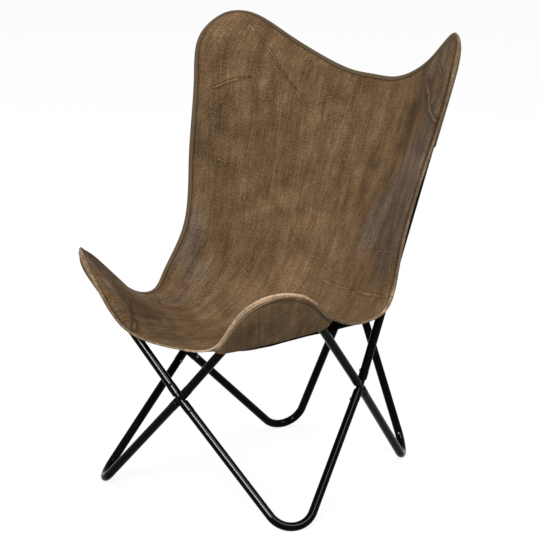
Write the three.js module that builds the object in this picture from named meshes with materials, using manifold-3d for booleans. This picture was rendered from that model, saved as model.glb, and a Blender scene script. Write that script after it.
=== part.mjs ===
// A butterfly sling chair: a frame of eight bent steel tubes on four crossing pieces,
// and a cloth sling that hangs by four corner pockets from the frame's upper loops.
// Millimetres, +Z up. The sitter faces -Y, and +X is on the right in a view along +Y.
// The origin is on the floor, in the middle of the chair.

import * as THREE from 'three';
import { mergeVertices } from 'three/addons/utils/BufferGeometryUtils.js';
import Module from 'manifold-3d';

const wasm = await Module();
wasm.setup();

// Steel tube
const tubeDiameter = 19;
const tubeWall = 1.5;
const tubeSides = 12;
const bendSteps = 8;

// The gap that neighbouring pieces keep
const fitGap = 0.3;

// Corners where a bent tube's two straight legs would meet, on the right of the chair
const frontFootAcross = 294;
const frontFootAlong = -313;
const backFootAcross = 179;
const backFootAlong = 285;
const frontLoopAcross = 305.5;
const frontLoopAlong = -365;
const frontLoopHeight = 574;
const backLoopAcross = 390;
const backLoopAlong = 256;
const backLoopHeight = 1237;

// Bends, on the tube's centre line
const footBend = 54;
const frontLoopBend = 56;
const backLoopBend = 72;

// Depth of the flat that each foot bend stands on
const footFlat = 1;

// Crossings of the tubes
const frontCrossAlong = -342.5;
const frontCrossHeight = 254;
const sideCrossAcross = 248;
const sideCrossAlong = -24.5;
const sideCrossHeight = 250.5;
const backCrossAlong = 301.5;
const backCrossHeight = 382.5;

// Crossing pieces, and the tube ends that slide on them
const armLength = 54;
const armSides = 16;
const leastMouth = 11;
const bellEnd = 40;
const bellRise = 0.6;

// Screws that hold each tube end on its arm
const screwPlace = 34;
const screwShank = 4;
const screwLength = 9;
const screwHead = 8;
const screwHeadHeight = 2.2;
const screwSides = 10;

// Sling cloth and its bound edge
const clothThickness = 2;
const bindingWidth = 10;
const bindingThickness = 4;
const tubeCover = 16;
const edgeSeat = 13;
const edgeLift = 9.5;

// How far the sling's edge swings away from the tube where it leaves it
const edgeSwing = 150;

// The sling's edge and its lowest line, in the middle of the chair
const topMiddleAlong = 375;
const topMiddleHeight = 868;
const frontMiddleAlong = -340;
const frontMiddleHeight = 366;
const seatLowAlong = -114;
const seatLowHeight = 312;

const tubeRadius = tubeDiameter / 2;
const boreRadius = tubeRadius - tubeWall;
const bellRadius = tubeRadius + bellRise;
const armRadius = boreRadius - fitGap;
const cutOverrun = tubeDiameter;

// Places of the sling's edge along a loop of tube, from the top middle to the front middle:
// the share of the leg from the loop's tip to its crossing, then shares of the edge's swing
// outwards from the tube and towards the sitter.
const rightBackShares = [
  [-0.347, 1.01, 0.32],
  [-0.26, 0.61, 0.075],
  [-0.143, 0.21, -0.02],
  [-0.056, 0.045, 0],
  [0, 0.013, 0],
  [0.05, 0, 0],
  [0.1, 0, 0],
  [0.207, 0, 0],
  [0.435, 0, 0],
  [0.654, 0.035, 0],
  [0.768, 0.28, 0.035],
];
const rightFrontShares = [
  [0.621, 0.44, 0.27],
  [0.491, 0.23, 0.095],
  [0.261, 0.055, 0],
  [0.13, 0.02, 0],
  [0.012, 0.03, 0],
  [-0.084, 0.027, 0],
  [-0.253, 0.087, 0],
  [-0.5, 0.053, 0],
  [-0.64, 0.04, 0.115],
];
const leftBackShares = [
  [-0.342, 1.03, 0.34],
  [-0.249, 0.66, 0.12],
  [-0.133, 0.27, 0],
  [-0.056, 0.107, 0],
  [0, 0.047, 0],
  [0.05, 0.013, 0],
  [0.1, 0, 0],
  [0.208, 0, 0],
  [0.435, 0, 0],
  [0.651, 0.013, 0],
  [0.781, 0.26, 0.08],
];
const leftFrontShares = [
  [0.661, 0.34, 0.18],
  [0.533, 0.167, 0.03],
  [0.258, 0.067, 0],
  [0.13, 0.06, 0],
  [0.017, 0.067, 0.013],
  [-0.069, 0.047, 0.02],
  [-0.253, 0.067, 0],
  [-0.494, 0.073, 0],
  [-0.64, 0.053, 0.14],
];

// Which points of the lists above stand at the tips of the wings, counted from the top middle
const backTipIndex = 5;
const frontTipIndex = 5;

// The sling's middle line, as shares of the way along and up from its lowest point,
// first towards the top middle and then towards the front middle
const backLineShares = [
  [0.9, 0.79],
  [0.78, 0.585],
  [0.65, 0.365],
  [0.5, 0.17],
  [0.32, 0.045],
];
const frontLineShares = [
  [0.3, 0.05],
  [0.62, 0.36],
];

const darkPaint = { color: 0x0b0b0c, roughness: 0.28, metalness: 0.1 };
const greySteel = { color: 0x8d8d8b, roughness: 0.35, metalness: 0.9 };
const brownCloth = { color: 0x6b563f, roughness: 0.75, metalness: 0 };
const paleEdge = { color: 0x8a7253, roughness: 0.7, metalness: 0 };

const chair = new THREE.Group();

function addPiece(name, geometry, finish) {
  const mesh = new THREE.Mesh(geometry, new THREE.MeshStandardMaterial(finish));
  mesh.name = name;
  chair.add(mesh);
  return mesh;
}

// Solids for joining and cutting

function toSolid(geometry) {
  const bare = geometry.clone();
  bare.deleteAttribute('normal');
  bare.deleteAttribute('uv');
  const merged = mergeVertices(bare);
  return new wasm.Manifold(new wasm.Mesh({
    numProp: 3,
    vertProperties: new Float32Array(merged.attributes.position.array),
    triVerts: new Uint32Array(merged.index.array),
  }));
}

function toGeometry(solid) {
  const mesh = solid.getMesh();
  const geometry = new THREE.BufferGeometry();
  geometry.setAttribute('position', new THREE.BufferAttribute(mesh.vertProperties, 3));
  geometry.setIndex(new THREE.BufferAttribute(mesh.triVerts, 1));
  geometry.computeVertexNormals();
  return geometry;
}

// A rod from one point along a direction
function rod(start, direction, radius, length, sides) {
  const geometry = new THREE.CylinderGeometry(radius, radius, length, sides);
  const turn = new THREE.Quaternion().setFromUnitVectors(new THREE.Vector3(0, 1, 0), direction);
  geometry.applyQuaternion(turn);
  const middle = start.clone().addScaledVector(direction, length / 2);
  geometry.translate(middle.x, middle.y, middle.z);
  return geometry;
}

// A ring round a line, from one distance along it to another
function sleeve(start, direction, inner, outer, from, to, sides) {
  const profile = [
    new THREE.Vector2(inner, from),
    new THREE.Vector2(outer, from),
    new THREE.Vector2(outer, to),
    new THREE.Vector2(inner, to),
    new THREE.Vector2(inner, from),
  ];
  const geometry = new THREE.LatheGeometry(profile, sides);
  const turn = new THREE.Quaternion().setFromUnitVectors(new THREE.Vector3(0, 1, 0), direction);
  geometry.applyQuaternion(turn);
  geometry.translate(start.x, start.y, start.z);
  return geometry;
}

// A tube's centre line: two straight legs and the bend between them.
// Its stations are a leg's end, the steps of the bend, and the other leg's end.
class BentLine extends THREE.Curve {
  constructor(startEnd, corner, finishEnd, radius) {
    super();
    const toStart = startEnd.clone().sub(corner).normalize();
    const toFinish = finishEnd.clone().sub(corner).normalize();
    this.halfAngle = toStart.angleTo(toFinish) / 2;
    this.inwards = toStart.clone().add(toFinish).normalize();
    this.centre = corner.clone().addScaledVector(this.inwards, radius / Math.sin(this.halfAngle));
    this.sideways = toStart.clone().addScaledVector(this.inwards, -toStart.dot(this.inwards)).normalize();
    this.radius = radius;
    this.startEnd = startEnd;
    this.finishEnd = finishEnd;
    this.sweepHalf = Math.PI / 2 - this.halfAngle;
  }

  bendPoint(angle) {
    return this.centre.clone()
      .addScaledVector(this.inwards, -this.radius * Math.cos(angle))
      .addScaledVector(this.sideways, this.radius * Math.sin(angle));
  }

  getPoint(t) {
    const stations = bendSteps + 2;
    const station = t * stations;
    if (station <= 1) {
      return this.startEnd.clone().lerp(this.bendPoint(this.sweepHalf), station);
    }
    if (station >= stations - 1) {
      return this.bendPoint(-this.sweepHalf).lerp(this.finishEnd, station - stations + 1);
    }
    return this.bendPoint(this.sweepHalf * (1 - 2 * (station - 1) / bendSteps));
  }

  getPointAt(t) {
    return this.getPoint(t);
  }

  getTangentAt(t) {
    return this.getTangent(t);
  }

  // Height of the bend's lowest point
  lowest() {
    const planeNormal = this.inwards.clone().cross(this.sideways);
    return this.centre.z - this.radius * Math.sqrt(1 - planeNormal.z ** 2);
  }
}

function ringOfPoints(radius, sides) {
  return Array.from({ length: sides }, (unused, i) => {
    const angle = 2 * Math.PI * i / sides;
    return new THREE.Vector2(radius * Math.cos(angle), radius * Math.sin(angle));
  });
}

function tubeAlong(line) {
  const section = new THREE.Shape(ringOfPoints(tubeRadius, tubeSides));
  const borePoints = ringOfPoints(boreRadius / Math.cos(Math.PI / tubeSides), tubeSides);
  section.holes.push(new THREE.Path(borePoints));
  return new THREE.ExtrudeGeometry(section, {
    steps: bendSteps + 2,
    extrudePath: line,
    bevelEnabled: false,
  });
}

// Frame corners and crossings

function mirrored(point) {
  return new THREE.Vector3(-point.x, point.y, point.z);
}

const frontCross = new THREE.Vector3(0, frontCrossAlong, frontCrossHeight);
const rightCross = new THREE.Vector3(sideCrossAcross, sideCrossAlong, sideCrossHeight);
const leftCross = mirrored(rightCross);
const backCross = new THREE.Vector3(0, backCrossAlong, backCrossHeight);
const frontLoopRight = new THREE.Vector3(frontLoopAcross, frontLoopAlong, frontLoopHeight);
const backLoopRight = new THREE.Vector3(backLoopAcross, backLoopAlong, backLoopHeight);

// A foot's corner is let down until its bend stands on the floor
function standingCorner(across, along, crossA, crossB) {
  const corner = new THREE.Vector3(across, along, 0);
  const rounds = 12;
  for (let i = 0; i < rounds; i += 1) {
    const line = new BentLine(crossA, corner, crossB, footBend);
    corner.z += tubeRadius - footFlat - line.lowest();
  }
  return corner;
}

const frontFootRight = standingCorner(frontFootAcross, frontFootAlong, frontCross, rightCross);
const backFootRight = standingCorner(backFootAcross, backFootAlong, backCross, rightCross);

// Each bent tube joins a middle crossing to a side crossing
const tubes = [
  { name: 'wing_tube_front', corner: frontLoopRight, middle: 'front', bend: frontLoopBend, stands: false },
  { name: 'wing_tube_back', corner: backLoopRight, middle: 'back', bend: backLoopBend, stands: false },
  { name: 'foot_tube_front', corner: frontFootRight, middle: 'front', bend: footBend, stands: true },
  { name: 'foot_tube_back', corner: backFootRight, middle: 'back', bend: footBend, stands: true },
].flatMap((tube) => [
  { ...tube, name: `${tube.name}_right`, side: 'right' },
  { ...tube, name: `${tube.name}_left`, side: 'left', corner: mirrored(tube.corner) },
]);

// Crossings, each with the way in which its screws face the chair's inside
const crossings = {
  front: { place: frontCross, inside: new THREE.Vector3(0, 1, 0), arms: [] },
  back: { place: backCross, inside: new THREE.Vector3(0, -1, 0), arms: [] },
  right: { place: rightCross, inside: new THREE.Vector3(-1, 0, 0), arms: [] },
  left: { place: leftCross, inside: new THREE.Vector3(1, 0, 0), arms: [] },
};
for (const tube of tubes) {
  for (const end of [tube.middle, tube.side]) {
    const cross = crossings[end];
    const direction = tube.corner.clone().sub(cross.place).normalize();
    cross.arms.push({ tube: tube.name, direction });
  }
}

// Tube ends stop where the belled ends of two neighbours would touch
for (const cross of Object.values(crossings)) {
  for (const arm of cross.arms) {
    const others = cross.arms.filter((other) => other !== arm);
    const reaches = others.map((other) => {
      const halfAngle = arm.direction.angleTo(other.direction) / 2;
      return (bellRadius + fitGap) / Math.tan(halfAngle);
    });
    arm.mouth = Math.max(leastMouth, ...reaches);
    arm.end = cross.place.clone().addScaledVector(arm.direction, arm.mouth);
    const inside = cross.inside.clone().addScaledVector(arm.direction, -cross.inside.dot(arm.direction));
    arm.screwFacing = inside.normalize();
    arm.screwSeat = cross.place.clone().addScaledVector(arm.direction, screwPlace);
  }
}

function armOf(cross, tubeName) {
  return crossings[cross].arms.find((arm) => arm.tube === tubeName);
}

// The hole for an arm's screw, from the middle of the arm outwards
function screwHole(arm) {
  const hole = rod(arm.screwSeat, arm.screwFacing, screwShank / 2 + fitGap, cutOverrun, screwSides);
  return toSolid(hole);
}

function buildTube(tube) {
  const startArm = armOf(tube.middle, tube.name);
  const finishArm = armOf(tube.side, tube.name);
  const line = new BentLine(startArm.end, tube.corner, finishArm.end, tube.bend);
  let solid = toSolid(tubeAlong(line));
  for (const [cross, arm] of [[tube.middle, startArm], [tube.side, finishArm]]) {
    const bell = sleeve(
      crossings[cross].place,
      arm.direction,
      tubeRadius - tubeWall / 2,
      bellRadius,
      arm.mouth,
      bellEnd,
      tubeSides,
    );
    solid = solid.add(toSolid(bell)).subtract(screwHole(arm));
  }
  if (tube.stands) {
    const floorSize = 4 * tube.bend;
    const floor = new THREE.BoxGeometry(floorSize, floorSize, cutOverrun);
    const lowest = line.bendPoint(0);
    floor.translate(lowest.x, lowest.y, -cutOverrun / 2);
    solid = solid.subtract(toSolid(floor));
  }
  addPiece(tube.name, toGeometry(solid), darkPaint);
}

function buildCrossing(name, cross) {
  let solid = null;
  for (const arm of cross.arms) {
    const armSolid = toSolid(rod(cross.place, arm.direction, armRadius, armLength, armSides));
    solid = solid ? solid.add(armSolid) : armSolid;
  }
  for (const arm of cross.arms) {
    solid = solid.subtract(screwHole(arm));
  }
  addPiece(`crossing_${name}`, toGeometry(solid), darkPaint);
}

// A button-head screw: its shank reaches into the arm, and its head lies on the tube's bell
function buildScrew(name, arm) {
  const headSeat = bellRadius + fitGap;
  const profile = [
    new THREE.Vector2(0, headSeat - screwLength),
    new THREE.Vector2(screwShank / 2, headSeat - screwLength),
    new THREE.Vector2(screwShank / 2, headSeat),
    new THREE.Vector2(screwHead / 2, headSeat),
    new THREE.Vector2(screwHead / 2, headSeat + screwHeadHeight / 3),
    new THREE.Vector2(screwHead / 4, headSeat + screwHeadHeight),
    new THREE.Vector2(0, headSeat + screwHeadHeight),
  ];
  const geometry = new THREE.LatheGeometry(profile, screwSides);
  const turn = new THREE.Quaternion().setFromUnitVectors(new THREE.Vector3(0, 1, 0), arm.screwFacing);
  geometry.applyQuaternion(turn);
  geometry.translate(arm.screwSeat.x, arm.screwSeat.y, arm.screwSeat.z);
  addPiece(name, toGeometry(toSolid(geometry)), greySteel);
}

tubes.forEach(buildTube);
for (const [name, cross] of Object.entries(crossings)) {
  buildCrossing(name, cross);
  for (const arm of cross.arms) {
    const place = arm.tube.replace('_tube', '');
    buildScrew(`screw_${name}_${place}`, arm);
  }
}

// A loop of the frame that a wing of the sling hangs on, with its own directions:
// along the tube from the loop's tip, outwards from the tube, and towards the sitter
class Loop {
  constructor(corner, sideCross, middleCross, radius, sitter) {
    this.line = new BentLine(sideCross, corner, middleCross, radius);
    const { centre, inwards, sideways } = this.line;
    this.centre = centre;
    this.out = inwards.clone().negate();
    this.sideways = sideways;
    this.facing = sideways.clone().cross(this.out).normalize();
    if (this.facing.dot(sitter.clone().sub(centre)) < 0) {
      this.facing.negate();
    }
    this.radius = radius;
    this.sweep = this.line.sweepHalf;
    const bendLength = radius * this.sweep;
    const turnPoint = this.line.bendPoint(this.sweep);
    this.sideLength = bendLength + turnPoint.distanceTo(sideCross);
    const innerTurnPoint = this.line.bendPoint(-this.sweep);
    this.middleLength = bendLength + innerTurnPoint.distanceTo(middleCross);
  }

  // The directions of a leg, on the side crossing's side or the middle crossing's
  leg(sign) {
    const outwards = this.out.clone().multiplyScalar(Math.cos(this.sweep))
      .addScaledVector(this.sideways, sign * Math.sin(this.sweep));
    const downwards = this.out.clone().multiplyScalar(-Math.sin(this.sweep))
      .addScaledVector(this.sideways, sign * Math.cos(this.sweep));
    return { outwards, downwards };
  }

  place(along, outwards, lift) {
    const bendLength = this.radius * this.sweep;
    const point = this.centre.clone().addScaledVector(this.facing, lift);
    if (Math.abs(along) <= bendLength) {
      const angle = along / this.radius;
      return point
        .addScaledVector(this.out, (this.radius + outwards) * Math.cos(angle))
        .addScaledVector(this.sideways, (this.radius + outwards) * Math.sin(angle));
    }
    const leg = this.leg(Math.sign(along));
    return point
      .addScaledVector(leg.outwards, this.radius + outwards)
      .addScaledVector(leg.downwards, Math.abs(along) - bendLength);
  }

  placeByShares([alongShare, outShare, liftShare]) {
    const length = alongShare > 0 ? this.sideLength : this.middleLength;
    return this.place(
      alongShare * length,
      edgeSeat + outShare * edgeSwing,
      edgeLift + liftShare * edgeSwing,
    );
  }

  // How far a point lies outwards from the tube and towards the sitter
  locate(point) {
    const away = point.clone().sub(this.centre);
    const outPart = away.dot(this.out);
    const sidePart = away.dot(this.sideways);
    const lift = away.dot(this.facing);
    const angle = Math.atan2(sidePart, outPart);
    if (Math.abs(angle) <= this.sweep) {
      return { outwards: Math.hypot(outPart, sidePart) - this.radius, lift };
    }
    const leg = this.leg(Math.sign(sidePart));
    return { outwards: away.dot(leg.outwards) - this.radius, lift };
  }
}

const sitterPlace = new THREE.Vector3(0, seatLowAlong, 2 * seatLowHeight);
const loops = {
  right: {
    back: new Loop(backLoopRight, rightCross, backCross, backLoopBend, sitterPlace),
    front: new Loop(frontLoopRight, rightCross, frontCross, frontLoopBend, sitterPlace),
  },
  left: {
    back: new Loop(mirrored(backLoopRight), leftCross, backCross, backLoopBend, sitterPlace),
    front: new Loop(mirrored(frontLoopRight), leftCross, frontCross, frontLoopBend, sitterPlace),
  },
};

// The sling's edge is one closed line: top middle, right side, front middle, left side
const topMiddle = new THREE.Vector3(0, topMiddleAlong, topMiddleHeight);
const frontMiddle = new THREE.Vector3(0, frontMiddleAlong, frontMiddleHeight);
const seatLow = new THREE.Vector3(0, seatLowAlong, seatLowHeight);

function sidePoints(side, backShares, frontShares) {
  return [
    ...backShares.map((shares) => loops[side].back.placeByShares(shares)),
    ...frontShares.map((shares) => loops[side].front.placeByShares(shares)),
  ];
}

const rightPoints = sidePoints('right', rightBackShares, rightFrontShares);
const leftPoints = sidePoints('left', leftBackShares, leftFrontShares);
const edgePoints = [topMiddle, ...rightPoints, frontMiddle, ...leftPoints.slice().reverse()];
const edgeLine = new THREE.CatmullRomCurve3(edgePoints, true, 'centripetal');
const edgeCount = edgePoints.length;

// Parameters of the edge's marks, counted in points round the closed line
const frontTipCount = rightBackShares.length + frontTipIndex;
const marks = {
  topMiddle: 0,
  rightBackTip: backTipIndex,
  rightFrontTip: frontTipCount,
  frontMiddle: rightPoints.length + 1,
  leftFrontTip: edgeCount - frontTipCount,
  leftBackTip: edgeCount - backTipIndex,
  again: edgeCount,
};

function edgePoint(count) {
  return edgeLine.getPoint(((count % edgeCount) + edgeCount) % edgeCount / edgeCount);
}

// A stretch of the edge between two marks, sampled by length
function stretchOfEdge(from, to) {
  const samples = 240;
  const step = (to - from) / samples;
  const points = Array.from({ length: samples + 1 }, (unused, i) => edgePoint(from + i * step));
  const lengths = [0];
  for (let i = 1; i <= samples; i += 1) {
    lengths.push(lengths[i - 1] + points[i].distanceTo(points[i - 1]));
  }
  const total = lengths[samples];
  return (share) => {
    const wanted = THREE.MathUtils.clamp(share, 0, 1) * total;
    let i = 1;
    while (i < samples && lengths[i] < wanted) {
      i += 1;
    }
    const part = (wanted - lengths[i - 1]) / (lengths[i] - lengths[i - 1]);
    return points[i - 1].clone().lerp(points[i], part);
  };
}

const topRight = stretchOfEdge(marks.topMiddle, marks.rightBackTip);
const topLeft = stretchOfEdge(marks.again, marks.leftBackTip);
const sideRight = stretchOfEdge(marks.rightFrontTip, marks.rightBackTip);
const sideLeft = stretchOfEdge(marks.leftFrontTip, marks.leftBackTip);
const frontRight = stretchOfEdge(marks.frontMiddle, marks.rightFrontTip);
const frontLeft = stretchOfEdge(marks.frontMiddle, marks.leftFrontTip);

// The sling's middle line, from the front middle down to the lowest point and up the back
const middleLine = new THREE.CatmullRomCurve3([
  frontMiddle,
  ...frontLineShares.slice().reverse().map(([alongShare, heightShare]) => new THREE.Vector3(
    0,
    seatLow.y + alongShare * (frontMiddle.y - seatLow.y),
    seatLow.z + heightShare * (frontMiddle.z - seatLow.z),
  )),
  seatLow,
  ...backLineShares.slice().reverse().map(([alongShare, heightShare]) => new THREE.Vector3(
    0,
    seatLow.y + alongShare * (topMiddle.y - seatLow.y),
    seatLow.z + heightShare * (topMiddle.z - seatLow.z),
  )),
  topMiddle,
], false, 'centripetal');

// The cloth's surface. Across goes from -1 at the left edge to 1 at the right,
// and length from 0 at the front edge to 1 at the top. Near the front and the top it follows
// the edge there, within these shares of the length.
const frontReachShare = 0.4;
const topReachShare = 0.5;

function archedPoint(across, length) {
  const right = sideRight(length);
  const left = sideLeft(length);
  const middle = middleLine.getPointAt(length);
  const halfWidth = right.clone().sub(left).multiplyScalar(0.5);
  const rise = right.clone().add(left).multiplyScalar(0.5).sub(middle);
  return middle.addScaledVector(halfWidth, across).addScaledVector(rise, across ** 2);
}

function clothPoint(across, length) {
  const point = archedPoint(across, length);
  const share = Math.abs(across);
  const nearFront = Math.max(0, 1 - length / frontReachShare) ** 2;
  const nearTop = Math.max(0, 1 - (1 - length) / topReachShare) ** 2;
  if (nearFront > 0) {
    const edge = across > 0 ? frontRight(share) : frontLeft(share);
    point.addScaledVector(edge.sub(archedPoint(across, 0)), nearFront);
  }
  if (nearTop > 0) {
    const edge = across > 0 ? topRight(share) : topLeft(share);
    point.addScaledVector(edge.sub(archedPoint(across, 1)), nearTop);
  }
  return point;
}

// The cloth goes over the tubes on the sitter's side, and from a tube down to the edge
function overTubes(point, station) {
  const side = station.across < 0 ? 'left' : 'right';
  for (const loop of Object.values(loops[side])) {
    const { outwards, lift } = loop.locate(point);
    const edge = loop.locate(station.edge);
    const reach = Math.min(edge.outwards, edgeSwing);
    let cover = outwards <= 0 ? tubeCover : -Infinity;
    if (outwards > 0 && outwards < reach) {
      cover = THREE.MathUtils.lerp(tubeCover, Math.min(edge.lift, tubeCover), outwards / edge.outwards);
    }
    if (lift < cover) {
      point.addScaledVector(loop.facing, cover - lift);
    }
  }
  return point;
}

// Stations round the edge, each with the start of its line on the middle of the cloth
const spineFrontShare = 0.3;
const spineTopShare = 0.72;
const topStationShares = [0, 0.2, 0.4, 0.58, 0.72, 0.83, 0.9, 0.95];
const sideStationShares = [
  1, 0.977, 0.954, 0.93, 0.9, 0.84, 0.76, 0.66, 0.56, 0.47, 0.39, 0.32, 0.25, 0.18, 0.12, 0.07, 0.035,
];
const frontStationShares = [1, 0.95, 0.9, 0.83, 0.72, 0.58, 0.42, 0.25, 0.1];

function halfStations(sign) {
  const spineOf = (length) => THREE.MathUtils.clamp(length, spineFrontShare, spineTopShare);
  return [
    ...topStationShares.map((share) => ({ across: sign * share, length: 1, spine: spineTopShare })),
    ...sideStationShares.map((share) => ({ across: sign, length: share, spine: spineOf(share) })),
    ...frontStationShares.map((share) => ({ across: sign * share, length: 0, spine: spineFrontShare })),
  ];
}

const rightStations = halfStations(1);
const leftStations = halfStations(-1).slice(1).reverse();
const stations = [
  ...rightStations,
  { across: 0, length: 0, spine: spineFrontShare },
  ...leftStations,
];
const stationCount = stations.length;

function edgeAt(station) {
  return clothPoint(station.across, station.length);
}

function onLine(station, share) {
  return clothPoint(
    station.across * share,
    station.spine + (station.length - station.spine) * share,
  );
}

const inwardShare = 0.86;
for (const station of stations) {
  station.edge = edgeAt(station);
  station.inwards = onLine(station, inwardShare).sub(station.edge).normalize();
}
stations.forEach((station, i) => {
  const before = stations[(i + stationCount - 1) % stationCount].edge;
  const after = stations[(i + 1) % stationCount].edge;
  station.forwards = after.clone().sub(before).normalize();
  station.facing = station.forwards.clone().cross(station.inwards).normalize();
  station.inwards = station.facing.clone().cross(station.forwards).normalize();
});

// Rows of cloth, first at fixed distances from the edge and then at shares of the way in
const clothStart = bindingWidth / 2 + fitGap;
const nearRowShares = [0, 0.35, 1, 2.4];
const nearRows = nearRowShares.map((share) => clothStart + share * bindingWidth);
const rowShares = [0.83, 0.62, 0.38, 0.15];

function clothRows(station) {
  return [
    ...nearRows.map((distance) => station.edge.clone().addScaledVector(station.inwards, distance)),
    ...rowShares.map((share) => onLine(station, share)),
  ].map((point) => overTubes(point, station));
}

function netGeometry(points, triangles) {
  const geometry = new THREE.BufferGeometry().setFromPoints(points);
  geometry.setIndex(triangles.flat());
  geometry.computeVertexNormals();
  return geometry;
}

// A closed solid of even thickness about a net of triangles, with the net's rim as pairs of points
function thickSheet(points, triangles, rim, thickness) {
  const normals = netGeometry(points, triangles).attributes.normal;
  const both = [1, -1].flatMap((sign) => points.map((point, i) => {
    const normal = new THREE.Vector3().fromBufferAttribute(normals, i);
    return point.clone().addScaledVector(normal, sign * thickness / 2);
  }));
  const count = points.length;
  const faces = [
    ...triangles,
    ...triangles.map(([a, b, c]) => [a + count, c + count, b + count]),
    ...rim.flatMap(([a, b]) => [[b, a, a + count], [b, a + count, b + count]]),
  ];
  return netGeometry(both, faces);
}

function buildPanel() {
  const rows = stations.map(clothRows);
  const rowCount = rows[0].length;
  const points = rows.flat();
  const at = (i, j) => (i % stationCount) * rowCount + j;
  const triangles = [];
  for (let i = 0; i < stationCount; i += 1) {
    for (let j = 0; j < rowCount - 1; j += 1) {
      triangles.push([at(i, j), at(i + 1, j), at(i + 1, j + 1)]);
      triangles.push([at(i, j), at(i + 1, j + 1), at(i, j + 1)]);
    }
  }
  // The inner row is closed by rungs from the right half to the left half
  const last = rowCount - 1;
  const half = stationCount / 2;
  for (let i = 0; i < half; i += 1) {
    const right = [at(i, last), at(i + 1, last)];
    const left = [at(stationCount - i, last), at(stationCount - i - 1, last)];
    if (i > 0) {
      triangles.push([right[0], right[1], left[0]]);
    }
    if (i < half - 1) {
      triangles.push([right[1], left[1], left[0]]);
    }
  }
  const rim = stations.map((unused, i) => [at(i, 0), at(i + 1, 0)]);
  addPiece('sling_panel', thickSheet(points, triangles, rim, clothThickness), brownCloth);
}

// The bound edge, in four lengths that meet at the wings' tips
const bindingShares = [
  [-0.5, -0.25],
  [-0.3, -0.5],
  [0.3, -0.5],
  [0.5, -0.25],
  [0.5, 0.25],
  [0.3, 0.5],
  [-0.3, 0.5],
  [-0.5, 0.25],
];

function buildBinding(name, from, to) {
  const count = to - from;
  const endShifts = { 0: fitGap / 2, [count]: -fitGap / 2 };
  const rings = [];
  for (let i = 0; i <= count; i += 1) {
    const station = stations[(from + i) % stationCount];
    rings.push(bindingShares.map(([acrossShare, deepShare]) => station.edge.clone()
      .addScaledVector(station.forwards, endShifts[i] ?? 0)
      .addScaledVector(station.inwards, acrossShare * bindingWidth)
      .addScaledVector(station.facing, deepShare * bindingThickness)));
  }
  const sides = bindingShares.length;
  const triangles = [];
  const at = (i, j) => i * sides + (j % sides);
  for (let i = 0; i < count; i += 1) {
    for (let j = 0; j < sides; j += 1) {
      triangles.push([at(i, j), at(i, j + 1), at(i + 1, j + 1)]);
      triangles.push([at(i, j), at(i + 1, j + 1), at(i + 1, j)]);
    }
  }
  for (let j = 1; j < sides - 1; j += 1) {
    triangles.push([at(0, 0), at(0, j + 1), at(0, j)]);
    triangles.push([at(count, 0), at(count, j), at(count, j + 1)]);
  }
  addPiece(name, netGeometry(rings.flat(), triangles), paleEdge);
}

// Corner pockets behind the wings: the edge of each goes round the tube on the far side,
// and its mouth hangs open below
const pocketNearShares = [-0.25, 0.05, 0.6, 1.4];
const pocketNearRows = pocketNearShares.map((share) => share * bindingWidth);
const pocketRowShares = [0.2, 0.45, 0.72, 1];
const pocketDrop = bindingThickness / 2 + clothThickness / 2 + 3 * fitGap;

function behindTubes(point, loop, edge) {
  const { outwards, lift } = loop.locate(point);
  const share = THREE.MathUtils.clamp(outwards / Math.max(edge.outwards, tubeCover), 0, 1);
  const ceiling = THREE.MathUtils.lerp(-tubeCover, edge.lift - pocketDrop, share ** 2);
  return point.addScaledVector(loop.facing, Math.min(0, ceiling - lift));
}

function buildPocket(name, loop, from, to) {
  const chosen = [];
  for (let i = from; i <= to; i += 1) {
    chosen.push(stations[(i + stationCount) % stationCount]);
  }
  const firstEdge = chosen[0].edge;
  const lastEdge = chosen[chosen.length - 1].edge;
  const rows = chosen.map((station, i) => {
    const edge = loop.locate(station.edge);
    const mouth = firstEdge.clone().lerp(lastEdge, i / (chosen.length - 1));
    const near = pocketNearRows.map((distance) => (
      station.edge.clone().addScaledVector(station.inwards, distance)));
    const far = pocketRowShares.map((share) => near[near.length - 1].clone().lerp(mouth, share));
    return [...near, ...far].map((point) => behindTubes(point, loop, edge));
  });
  const rowCount = rows[0].length;
  const inner = rows.slice(1, -1);
  const points = inner.flat();
  const at = (i, j) => i * rowCount + j;
  const triangles = [];
  for (let i = 0; i < inner.length - 1; i += 1) {
    for (let j = 0; j < rowCount - 1; j += 1) {
      triangles.push([at(i, j), at(i + 1, j), at(i + 1, j + 1)]);
      triangles.push([at(i, j), at(i + 1, j + 1), at(i, j + 1)]);
    }
  }
  const rim = [];
  const last = inner.length - 1;
  for (let i = 0; i < last; i += 1) {
    rim.push([at(i, 0), at(i + 1, 0)]);
    rim.push([at(i + 1, rowCount - 1), at(i, rowCount - 1)]);
  }
  for (let j = 0; j < rowCount - 1; j += 1) {
    rim.push([at(0, j + 1), at(0, j)]);
    rim.push([at(last, j), at(last, j + 1)]);
  }
  addPiece(name, thickSheet(points, triangles, rim, clothThickness), brownCloth);
}

buildPanel();

const rightBackTip = topStationShares.length;
const rightFrontTip = rightBackTip + sideStationShares.length;
const frontMiddleStation = rightFrontTip + frontStationShares.length;
const leftFrontTip = 2 * frontMiddleStation - rightFrontTip;
const leftBackTip = 2 * frontMiddleStation - rightBackTip;
buildBinding('edge_binding_right', rightBackTip, rightFrontTip);
buildBinding('edge_binding_front', rightFrontTip, leftFrontTip);
buildBinding('edge_binding_left', leftFrontTip, leftBackTip);
buildBinding('edge_binding_top', leftBackTip, rightBackTip + stationCount);

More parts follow.
